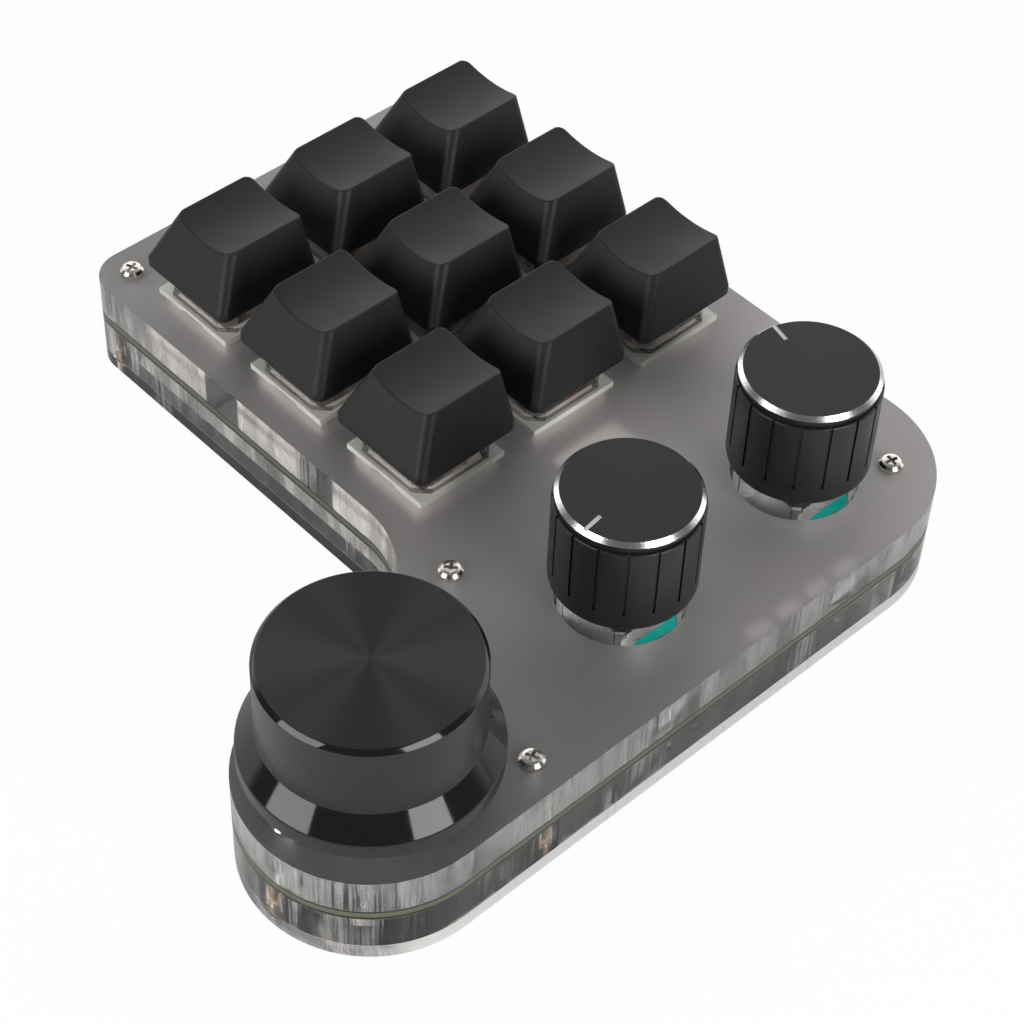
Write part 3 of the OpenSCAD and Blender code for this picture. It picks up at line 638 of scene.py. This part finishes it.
def board_laminate(board_low, board_high):
    """Black solder mask with pale printed fields, and a grey-green cut edge."""
    f = Finish.of("board_laminate")
    spot = f.place()
    x, y, z = f.axes(spot)
    print_mask = f.within(x, y, *SOCKET_MARK)
    for pale_bar in PALE_BARS:
        print_mask = print_mask | f.within(x, y, *pale_bar) * 0.5
    weave = f.noise(spot, 6.0)
    cloud = f.noise(spot, 0.06, detail=3)
    mask_black = f.blend(cloud, (0.012, 0.012, 0.012), (0.03, 0.029, 0.028))
    face = f.blend(print_mask, mask_black, (0.62, 0.62, 0.6))
    edge = f.blend(weave, (0.07, 0.085, 0.05), (0.17, 0.19, 0.12))
    skin = 1 - ((z > board_low / MM + 0.45) & (z < board_high / MM - 0.28))
    edge = f.blend(skin, edge, (0.012, 0.014, 0.01))
    return f.surface(
        Base_Color=f.blend(f.lying(), edge, face),
        Roughness=f.spread(weave, 0.2, 0.8, 0.36, 0.5),
        Normal=f.bump(weave, 0.02 * MM, 0.4),
    )


def metal(name, tone, roughness):
    """Bare metal with fine wear."""
    f = Finish.of(name)
    wear = f.noise(f.place(), 2.5, detail=4, roughness=0.6)
    return f.surface(
        Base_Color=f.blend(f.spread(wear, 0.35, 0.75), tone, shade(tone, 0.72)),
        Metallic=1.0,
        Roughness=f.spread(wear, 0.25, 0.8, roughness * 0.75, roughness * 1.3),
        Normal=f.bump(wear, 0.02 * MM, 0.4),
    )


def plastic(name, tone, roughness, grain_scale=6.0, grain_depth=0.01 * MM, sheen_level=0.5):
    """Moulded plastic with a fine grain."""
    f = Finish.of(name)
    spot = f.place()
    grain = f.noise(spot, grain_scale, detail=3, roughness=0.6)
    cloud = f.noise(spot, 0.15)
    return f.surface(
        Base_Color=f.blend(f.spread(cloud, 0.3, 0.7), shade(tone, 0.86), tone),
        Roughness=f.spread(cloud, 0.3, 0.7, roughness * 0.9, roughness * 1.1),
        Normal=f.bump(grain, grain_depth, 0.5),
        Specular_IOR_Level=sheen_level,
    )


def clear_cover_plastic():
    """Clear switch cover, slightly smoky."""
    f = Finish.of("clear_switch")
    cloud = f.noise(f.place(), 0.8)
    glass = f.shader(
        Base_Color=(0.86, 0.85, 0.84),
        Roughness=f.spread(cloud, 0.3, 0.7, 0.06, 0.16),
        IOR=1.5,
        Transmission_Weight=1.0,
    )
    return f.done(f.lamps_through(glass, (0.8, 0.8, 0.8)))


def turned_rings(f, centre, detail, roughness):
    """Noise that changes only with the distance from an upright axis."""
    x, y = f.axes(f.place(centre))[:2]
    radius = (x * x + y * y).math("SQRT")
    rings = f.node("ShaderNodeCombineXYZ", sockets={0: radius})
    return f.noise(rings, 7.0, detail, roughness)


def spun_black(look, centre):
    """Turned and blacked metal face, whose fine rings pull highlights into fans."""
    f = Finish.of("spun_black")
    turned = turned_rings(f, centre, 3, 0.7)
    return f.surface(
        Base_Color=look.black,
        Roughness=f.spread(turned, 0.25, 0.75, 0.44, 0.52),
        Anisotropic=0.9,
        Anisotropic_Rotation=0.25,
        Specular_IOR_Level=0.45,
        Normal=f.bump(turned, 0.004 * MM, 0.4),
    )


def side_black(look, centre):
    """Satin blacked metal on the upright side of the big knob."""
    f = Finish.of("satin_black")
    turned = f.noise(f.place(centre, (40, 40, 1)), 5.0, detail=3, roughness=0.7)
    return f.surface(
        Base_Color=look.black,
        Roughness=f.spread(turned, 0.25, 0.75, 0.26, 0.36),
        Normal=f.bump(turned, 0.004 * MM, 0.4),
    )


def gloss_black(look, centre):
    """Diamond-turned glossy black of the big knob's slope and chamfer."""
    f = Finish.of("gloss_black")
    turned = f.noise(f.place(centre, (40, 40, 1)), 4.0)
    return f.surface(
        Base_Color=look.black,
        Roughness=f.spread(turned, 0.3, 0.7, 0.05, 0.1),
    )


def cap_face(centre):
    """Black satin face of a small knob's metal cap."""
    f = Finish.of("cap_face")
    turned = turned_rings(f, centre, 2, 0.5)
    return f.surface(
        Base_Color=(0.009, 0.0085, 0.0085),
        Roughness=f.spread(turned, 0.3, 0.7, 0.3, 0.38),
        Anisotropic=0.3,
        Specular_IOR_Level=0.34,
        Normal=f.bump(turned, 0.003 * MM, 0.3),
    )


# ---- operators


class PieceOperator(bpy.types.Operator):
    """Base of every operator that builds pieces of the keypad."""

    bl_idname = "keypad.piece"
    bl_label = "Piece"

    def execute(self, context):
        self.build(context.scene)
        return {"FINISHED"}


class KEYPAD_OT_stage(PieceOperator):
    """Floor, surroundings, softboxes and camera"""

    bl_idname = "keypad.stage"
    bl_label = "Stage"

    def build(self, scene):
        look = scene.keypad_stage
        scene.view_settings.view_transform = "Standard"
        self.floor(look)
        self.surroundings(scene, look)
        self.softbox(look, "left")
        self.softbox(look, "right")
        self.camera(scene, look)

    def floor(self, look):
        bm = bmesh.new()
        bmesh.ops.create_grid(bm, x_segments=1, y_segments=1, size=look.floor_size / 2)
        moved(bm, (0, 0, -0.1 * MM))
        floor = placed("floor", mesh_of("floor", bm))
        f = Finish.of("floor")
        seen, through = f.eye()
        matt = f.node("ShaderNodeBsdfDiffuse", sockets={"Color": (0.86, 0.86, 0.86, 1)})
        glow = f.node("ShaderNodeEmission", sockets={"Strength": 1.0})
        shown = (seen | through * look.floor_beyond) * look.floor_glow
        floor.data.materials.append(f.done(f.mix(shown, matt, glow)))

    def surroundings(self, scene, look):
        world = scene.world or bpy.data.worlds.new("surroundings")
        scene.world = world
        world.use_nodes = True
        f = Finish(world.node_tree)
        heading = f.node("ShaderNodeTexCoord", out="Generated")
        x, y, rise = f.axes(heading)
        wall = toward(look.wall_heading)
        behind = f.spread(x * wall.x + y * wall.y, 0.05, 0.45)
        glow = f.spread(rise, 0.6, 0.86, look.wall_light, look.wall_top)
        seen, through = f.eye()
        dome = behind * glow + (1 - behind) * look.room_light
        beyond = f.spread(x, -0.8, -0.4, look.left_beyond, look.back_beyond)
        light = dome * (1 - (seen | through)) + (seen | through * beyond)
        sky = f.node("ShaderNodeBackground", sockets={"Strength": light})
        f.node("ShaderNodeOutputWorld", sockets={"Surface": sky})

    def softbox(self, look, side):
        """Places a soft light round the keypad, by its compass heading."""
        name = f"{side}_softbox"
        lamp = bpy.data.lights.new(name, "AREA")
        lamp.shape = "RECTANGLE"
        lamp.energy = getattr(look, f"{side}_power")
        lamp.size, lamp.size_y = getattr(look, f"{side}_width"), look.softbox_height
        away = toward(getattr(look, f"{side}_heading"), look.softbox_rise)
        softbox = placed(name, lamp)
        softbox.location = away * look.softbox_distance
        softbox.rotation_euler = away.to_track_quat("Z", "Y").to_euler()
        softbox.visible_camera = False

    def camera(self, scene, look):
        right = toward(look.azimuth)
        back = toward(look.azimuth - math.pi / 2, look.elevation)
        up = back.cross(right)
        rolled_right = right * math.cos(look.roll) + up * math.sin(look.roll)
        rolled_up = up * math.cos(look.roll) - right * math.sin(look.roll)
        data = bpy.data.cameras.new("camera")
        data.lens = look.lens
        data.sensor_width = 36
        data.clip_start = 0.01
        camera = placed("camera", data)
        axes = Matrix((rolled_right, rolled_up, back)).transposed().to_4x4()
        place = Vector(look.target) + back * look.distance
        camera.matrix_world = Matrix.Translation(place) @ axes
        scene.camera = camera


class KEYPAD_OT_acrylic(PieceOperator):
    """The three acrylic layers, frosted on top and polished elsewhere"""

    bl_idname = "keypad.acrylic"
    bl_label = "Acrylic layers"

    def build(self, scene):
        look = scene.keypad_acrylic
        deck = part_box("top_plate")[1].z
        clear = clear_acrylic(look, look.frame_tint)
        frosted = frosted_acrylic(look, deck)
        for node, slot, finish in (
            ("base_plate", "clear_acrylic", clear_acrylic(look, look.tint, pale_side=True)),
            ("base_frame", "clear_acrylic", clear),
            ("top_plate", "frosted_acrylic", frosted),
        ):
            low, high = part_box(node)
            bm = merged_copy(node)
            for vert in bm.verts:
                if vert.co.z < low.z + look.contact_gap and low.z > look.contact_gap:
                    vert.co.z += look.contact_gap
                elif vert.co.z > high.z - look.contact_gap and high.z < deck:
                    vert.co.z -= look.contact_gap
            name = node.replace("_", "-") + "-sheet"
            sheet = add_piece(name, bm, "housing", slot, finish, even=False)
            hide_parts(node)


class KEYPAD_OT_board(PieceOperator):
    """Circuit board, its chip, diodes and connector"""

    bl_idname = "keypad.board"
    bl_label = "Circuit board"

    def build(self, scene):
        low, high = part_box("circuit_board")
        paint(board_laminate(low.z, high.z), "circuit_board")
        package = plastic("black_package", (0.02, 0.02, 0.021), 0.45, 8.0)
        paint(package, "controller_chip", "board_diodes")
        paint(metal("socket_steel", (0.62, 0.62, 0.6), 0.24), "usb_socket")


class KEYPAD_OT_fasteners(PieceOperator):
    """Screws and standoffs"""

    bl_idname = "keypad.fasteners"
    bl_label = "Screws and standoffs"

    def build(self, scene):
        nickel = metal("nickel_screw", (0.74, 0.71, 0.66), 0.2)
        paint(nickel, "top_screws", "bottom_screws")
        paint(metal("brass_standoff", (0.78, 0.56, 0.27), 0.25), "standoffs")


class KEYPAD_OT_switches(PieceOperator):
    """Switch bases, clear covers, red stems and pins"""

    bl_idname = "keypad.switches"
    bl_label = "Switches"

    def build(self, scene):
        paint(plastic("white_switch", (0.84, 0.82, 0.77), 0.42), "switch_bases")
        paint(clear_cover_plastic(), "switch_covers")
        paint(metal("contact_metal", (0.8, 0.66, 0.4), 0.25), "switch_pins")
        red = plastic("red_stem", (0.5, 0.03, 0.02), 0.3)
        paint(red, *(f"stem_{key}" for key in KEYS))


class KEYPAD_OT_springs(PieceOperator):
    """Coil springs of the keys"""

    bl_idname = "keypad.springs"
    bl_label = "Key springs"

    def build(self, scene):
        look = scene.keypad_springs
        finish = metal("spring_steel", (0.66, 0.65, 0.62), 0.28)
        for key in KEYS:
            foot, radius, height = measures(f"spring_{key}")
            foot += plan_place(f"spring_{key}")
            steps = look.turns * 20
            bm = bmesh.new()
            seat = Matrix.Translation((radius - look.wire / 2, 0, look.wire / 2))
            upright = seat @ Matrix.Rotation(math.pi / 2, 4, "X")
            bmesh.ops.create_circle(bm, segments=8, radius=look.wire / 2, matrix=upright)
            bmesh.ops.spin(
                bm,
                geom=bm.verts[:] + bm.edges[:],
                axis=UP,
                dvec=UP * ((height - look.wire) / steps),
                angle=math.tau * look.turns,
                steps=steps,
            )
            bmesh.ops.holes_fill(bm, edges=bm.edges[:], sides=8)
            bmesh.ops.recalc_face_normals(bm, faces=bm.faces)
            moved(bm, foot)
            coil = add_piece(
                f"spring-{key}-coil", bm, "housing", "spring_steel", finish, crease=60
            )
            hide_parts(f"spring_{key}")
            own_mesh(coil)


class KEYPAD_OT_keycaps(PieceOperator):
    """Nine blank black keycaps with a hollow top"""

    bl_idname = "keypad.keycaps"
    bl_label = "Keycaps"

    def build(self, scene):
        look = scene.keypad_keycaps
        finish = self.finish(look)
        mesh = mesh_of("keycap", self.cap(look))
        for key in KEYS:
            bm = bmesh_of(mesh)
            moved(bm, plan_place(f"keycap_{key}") + measures(f"keycap_{key}")[0])
            cap = add_piece(f"keycap-{key}-shell", bm, f"key_{key}", "black_keycap", finish)
            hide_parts(f"keycap_{key}")
        bpy.data.meshes.remove(mesh)

    def finish(self, look):
        f = Finish.of("black_keycap")
        spot = f.place()
        grain = f.noise(spot, 14.0, roughness=0.6)
        cloud = f.noise(spot, 0.12)
        pale = shade(look.black, 1.35)
        return f.surface(
            Base_Color=f.blend(f.spread(cloud, 0.3, 0.7), look.black, pale),
            Roughness=f.spread(cloud, 0.3, 0.7, 0.48, 0.55),
            Specular_IOR_Level=0.38,
            Normal=f.bump(grain, 0.012 * MM, 0.5),
        )

    def cap(self, look):
        half = look.width / 2
        top_half = half - look.side_lean
        slope = look.height - look.skirt
        bm = bmesh.new()
        bar(bm, (look.width, look.width, look.height), (0, 0, look.height / 2))
        self.slice(bm, UP * look.skirt, UP)
        top = [v for v in bm.verts if v.co.z > look.height - TINY]
        bmesh.ops.scale(bm, vec=(top_half / half, 1, 1), verts=top)
        front = [v for v in top if v.co.y < 0]
        back = [v for v in top if v.co.y > 0]
        bmesh.ops.translate(bm, vec=(0, look.front_lean, 0), verts=front)
        bmesh.ops.translate(bm, vec=(0, -look.back_lean, 0), verts=back)
        uprights = [e for e in bm.edges if abs(e.verts[0].co.z - e.verts[1].co.z) > TINY]
        rounded(bm, uprights, look.corner, look.corner_steps)
        flat = top_half - look.corner - 0.1 * MM
        for step in range(look.strips + 1):
            self.slice(bm, ((2 * step / look.strips - 1) * flat, 0, 0), (1, 0, 0))
        self.hollow_top(bm, look, top_half, slope)
        rim = self.rim(bm, look)
        self.room(bm, look, half)
        rounded(bm, rim, look.rim, 3)
        bmesh.ops.recalc_face_normals(bm, faces=bm.faces)
        self.add_post(bm, look)
        return bm

    def slice(self, bm, place, normal):
        bmesh.ops.bisect_plane(
            bm,
            geom=bm.verts[:] + bm.edges[:] + bm.faces[:],
            dist=TINY,
            plane_co=place,
            plane_no=normal,
        )

    def hollow_top(self, bm, look, top_half, slope):
        """Lets the top sink along the slopes of the cap."""
        level = look.height - TINY
        top = [v for v in bm.verts if v.co.z > level]
        radius = (top_half**2 + look.dish**2) / (2 * look.dish)
        moves = []
        for vert in top:
            below = [e.other_vert(vert) for e in vert.link_edges]
            below = [v for v in below if v.co.z < level]
            x = min(abs(vert.co.x), top_half)
            sag = math.sqrt(radius**2 - x**2) - (radius - look.dish)
            moves.append((vert, vert.co.lerp(below[0].co, sag / slope)))
        for vert, place in moves:
            vert.co = place

    def rim(self, bm, look):
        """Borders the top with a narrow ring and returns its outer edges."""

        def on_top(face):
            return face.normal.z > 0.85

        bm.normal_update()
        top = [f for f in bm.faces if on_top(f)]
        bmesh.ops.inset_region(bm, faces=top, thickness=1.25 * look.rim, use_even_offset=True)
        bm.normal_update()
        return [e for e in bm.edges if sorted(map(on_top, e.link_faces)) == [False, True]]

    def room(self, bm, look, half):
        """Hollows the cap from below."""
        foot = [f for f in bm.faces if f.normal.z < -0.9]
        bmesh.ops.inset_region(bm, faces=foot, thickness=look.wall, use_even_offset=True)
        grown = bmesh.ops.extrude_face_region(bm, geom=foot)["geom"]
        bmesh.ops.delete(bm, geom=foot, context="FACES")
        roof = [v for v in grown if isinstance(v, bmesh.types.BMVert)]
        share = (look.room - look.skirt) / (look.height - look.skirt)
        inner = half - look.wall
        front = look.front_lean * share
        back = look.back_lean * share
        scale_x = (inner - look.side_lean * share) / inner
        scale_y = (2 * inner - front - back) / (2 * inner)
        bmesh.ops.scale(bm, vec=(scale_x, scale_y, 1), verts=roof)
        bmesh.ops.translate(bm, vec=(0, (front - back) / 2, look.room), verts=roof)

    def add_post(self, bm, look):
        """Adds the post, whose top sinks a little into the roof."""
        top = look.room + 0.05 * MM
        middle = Matrix.Translation((0, 0, (top + look.post_foot) / 2))
        post = rod(look.post_radius, top - look.post_foot, 48, middle)
        for size in ((look.cross_span, look.cross_arm), (look.cross_arm, look.cross_span)):
            cutter = bmesh.new()
            bar(cutter, (*size, 2 * look.cross_depth), (0, 0, 0))
            post = carved(post, cutter)
        mesh = mesh_of("post", post)
        bm.from_mesh(mesh)
        bpy.data.meshes.remove(mesh)


class KEYPAD_OT_encoders(PieceOperator):
    """Rotary encoders and their shafts"""

    bl_idname = "keypad.encoders"
    bl_label = "Encoders"

    def folds(self, dial, look, finish):
        """Folds the bracket round the case's corners and down its left and right sides."""
        case_low, case_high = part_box(f"{dial}_encoder_case")
        low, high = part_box(f"{dial}_encoder_bracket")
        case_x = (case_high.x - case_low.x) / 2
        half_y = (high.y - low.y) / 2
        foot = case_low.z + look.fold_foot
        tall = case_high.z - foot
        lip = (high.x - low.x) / 2 - case_x
        bm = bmesh.new()
        for side_x in (-1, 1):
            face_x = side_x * (case_x + lip / 2)
            corner_x = side_x * (case_x - look.fold_width / 2)
            for side_y in (-1, 1):
                corner_y = side_y * (half_y - look.fold_sheet / 2)
                flap_y = side_y * (half_y - look.fold_width / 2)
                corner = (corner_x, corner_y, foot + tall / 2)
                bar(bm, (look.fold_width, look.fold_sheet, tall), corner)
                bar(bm, (lip, look.fold_width, tall), (face_x, flap_y, foot + tall / 2))
                leaf = (corner_x, flap_y, case_high.z + look.fold_sheet / 4)
                bar(bm, (look.fold_width, look.fold_width, look.fold_sheet / 2), leaf)
            apron_z = case_low.z + look.lip_foot - look.apron / 2
            apron_width = 2 * (half_y - look.fold_width)
            bar(bm, (lip, apron_width, look.apron), (face_x, 0, apron_z))
        moved(bm, plan_place(f"{dial}_encoder_bracket"))
        add_piece(f"{dial}-bracket-folds", bm, "housing", "stamped_steel", finish)

    def build(self, scene):
        look = scene.keypad_encoders
        teal = plastic("teal_case", (0.0, 0.3, 0.26), 0.35)
        bright = metal("stamped_steel", (0.86, 0.86, 0.85), 0.34)
        ivory = plastic("ivory_rotor", (0.62, 0.56, 0.42), 0.45)
        shaft = metal("shaft_metal", (0.7, 0.7, 0.68), 0.22)
        for dial in DIALS:
            paint(teal, f"{dial}_encoder_case")
            paint(bright, f"{dial}_encoder_bracket")
            paint(ivory, f"{dial}_encoder_rotor")
            paint(shaft, f"{dial}_shaft")
            self.folds(dial, look, bright)
        paint(metal("pin_metal", (0.72, 0.7, 0.66), 0.25), "encoder_pins")
        paint(metal("contact_spring", (0.78, 0.7, 0.5), 0.25), "push_contacts")


class KEYPAD_OT_big_knob(PieceOperator):
    """Big turned knob with a sloping skirt, and its set screw"""

    bl_idname = "keypad.big_knob"
    bl_label = "Big knob"

    def build(self, scene):
        look = scene.keypad_big_knob
        foot, _, height = measures("big_knob")
        centre = plan_place("big_knob") + foot
        slope_top = look.rim + look.slope
        edges = [
            (look.skirt_radius, 0, look.skirt_round),
            (look.skirt_radius, look.rim, look.skirt_round),
            (look.radius, slope_top, look.slope_round),
            (look.radius, height - look.chamfer, look.top_round),
            (look.radius - look.chamfer, height, look.top_round),
        ]
        profile = [
            (0, look.bore_top),
            (look.bore_radius, look.bore_top),
            (look.bore_radius, look.recess),
            (look.recess_radius, look.recess),
            (look.recess_radius, 0),
            *[edge[:2] for edge in edges],
            (0, height),
        ]
        bm = spun(profile, 160)
        round_rings(bm, edges)
        screw = box_middle("big_knob_set_screw") - centre
        heading = math.atan2(screw.y, screw.x)
        reach = (look.skirt_radius + look.bore_radius) / 2
        along = (
            Matrix.Rotation(heading, 4, "Z")
            @ Matrix.Translation((reach, 0, screw.z))
            @ Matrix.Rotation(math.pi / 2, 4, "Y")
        )
        bm = carved(bm, rod(look.screw_radius, look.skirt_radius, 32, along))
        for face in bm.faces:
            place = face.calc_center_median()
            outer = math.hypot(place.x, place.y) > look.radius - NEAR
            if place.z > height - NEAR:
                face.material_index = 1
            elif place.z > height - look.chamfer - NEAR:
                face.material_index = 2
            elif outer and look.rim - look.gloss < place.z < slope_top + NEAR:
                face.material_index = 2
        moved(bm, centre)
        blacks = [black(look, centre) for black in (side_black, spun_black, gloss_black)]
        knob = add_piece(
            "big-knob-body", bm, "front_dial", "black_anodised", *blacks, crease=20
        )
        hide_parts("big_knob")
        paint(metal("dark_steel", (0.09, 0.09, 0.1), 0.3), "big_knob_set_screw")


class KEYPAD_OT_small_knobs(PieceOperator):
    """Two ribbed knobs with their metal caps"""

    bl_idname = "keypad.small_knobs"
    bl_label = "Small knobs"

    def build(self, scene):
        look = scene.keypad_small_knobs
        black = plastic("black_knob", (0.012, 0.012, 0.0125), 0.36, 10.0, 0.008 * MM, 0.45)
        turns = (
            (look.middle_groove, look.middle_pointer),
            (look.rear_groove, look.rear_pointer),
        )
        for dial, (groove_turn, pointer_turn) in zip(SMALL_DIALS, turns):
            self.ribbed_body(look, dial, groove_turn, black)
            self.metal_cap(look, dial, pointer_turn)

    def ribbed_body(self, look, dial, turn, finish):
        foot, _, height = measures(f"{dial}_knob")
        neck_z = height - look.neck
        ceiling = height - look.roof
        inner = look.radius - look.wall
        profile = [
            (0, look.bore_top),
            (look.bore_radius, look.bore_top),
            (look.bore_radius, look.hub_foot),
            (look.hub_radius, look.hub_foot),
            (look.hub_radius, ceiling),
            (inner, ceiling),
            (inner, 0),
            (look.radius, 0),
            (look.radius, neck_z),
            (look.neck_radius, neck_z),
            (look.neck_radius, height),
            (0, height),
        ]
        bm = spun(profile, 144)
        round_rings(bm, [(look.radius, 0, look.foot), (look.radius, neck_z, look.lip)], 4)
        cutter = bmesh.new()
        groove_height = height - look.groove_foot
        for step in range(look.grooves):
            bar(
                cutter,
                (2 * look.groove_depth, look.groove_width, groove_height),
                (look.radius, 0, look.groove_foot + groove_height / 2),
                turn + step * math.tau / look.grooves,
            )
        bm = carved(bm, cutter)
        moved(bm, plan_place(f"{dial}_shaft") + foot)
        knob = add_piece(f"{dial}-knob-body", bm, f"{dial}_dial", "black_knob", finish)
        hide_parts(f"{dial}_knob")

    def metal_cap(self, look, dial, turn):
        foot, radius, height = measures(f"{dial}_knob_cap")
        centre = plan_place(f"{dial}_shaft") + foot
        inner = radius - look.cap_chamfer
        profile = [(0, 0), (radius, 0), (radius, height - look.cap_chamfer), (inner, height)]
        bm = spun([*profile, (0, height)], 144)
        cutter = bmesh.new()
        reach = look.pointer_length + 2 * look.cap_chamfer
        bar(
            cutter,
            (reach, look.pointer_width, 2 * look.pointer_depth),
            (inner - look.pointer_length + reach / 2, 0, height),
            turn,
        )
        bm = carved(bm, cutter)
        floor_z = height - look.pointer_depth
        for face in bm.faces:
            place = face.calc_center_median()
            level = face.normal.z > 0.9
            side = math.hypot(place.x, place.y) > radius - NEAR
            if level and abs(place.z - floor_z) < NEAR:
                face.material_index = 2
            elif level and place.z > height - NEAR:
                face.material_index = 1
            elif side and place.z < height - look.cap_chamfer:
                face.material_index = 1
        moved(bm, centre)
        bright = metal(f"{dial}_cap_ring", (0.86, 0.86, 0.85), 0.2)
        white = plastic(f"{dial}_pointer", (0.82, 0.82, 0.8), 0.4)
        finishes = (bright, cap_face(centre), white)
        name = f"{dial}-knob-cap-disc"
        cap = add_piece(name, bm, f"{dial}_dial", "knob_cap_metal", *finishes)
        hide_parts(f"{dial}_knob_cap")


OPERATORS = (
    KEYPAD_OT_stage,
    KEYPAD_OT_acrylic,
    KEYPAD_OT_board,
    KEYPAD_OT_fasteners,
    KEYPAD_OT_switches,
    KEYPAD_OT_springs,
    KEYPAD_OT_keycaps,
    KEYPAD_OT_encoders,
    KEYPAD_OT_big_knob,
    KEYPAD_OT_small_knobs,
)
GROUPS = {
    "keypad_stage": KeypadStage,
    "keypad_acrylic": KeypadAcrylic,
    "keypad_keycaps": KeypadKeycaps,
    "keypad_springs": KeypadSprings,
    "keypad_encoders": KeypadEncoders,
    "keypad_big_knob": KeypadBigKnob,
    "keypad_small_knobs": KeypadSmallKnobs,
}


class KEYPAD_PT_panel(bpy.types.Panel):
    """Lists the keypad's pieces"""

    bl_idname = "KEYPAD_PT_panel"
    bl_label = "Macro keypad"
    bl_space_type = "VIEW_3D"
    bl_region_type = "UI"
    bl_category = "Keypad"

    def draw(self, context):
        for operator in OPERATORS:
            self.layout.operator(operator.bl_idname)


CLASSES = (*GROUPS.values(), *OPERATORS, KEYPAD_PT_panel)


def register():
    for kind in CLASSES:
        bpy.utils.register_class(kind)
    for name, group in GROUPS.items():
        setattr(bpy.types.Scene, name, bpy.props.PointerProperty(type=group))


def unregister():
    for name in GROUPS:
        delattr(bpy.types.Scene, name)
    for kind in reversed(CLASSES):
        bpy.utils.unregister_class(kind)


def main():
    register()
    for operator in OPERATORS:
        getattr(bpy.ops.keypad, operator.bl_idname.split(".")[1])()


if __name__ == "__main__":
    main()
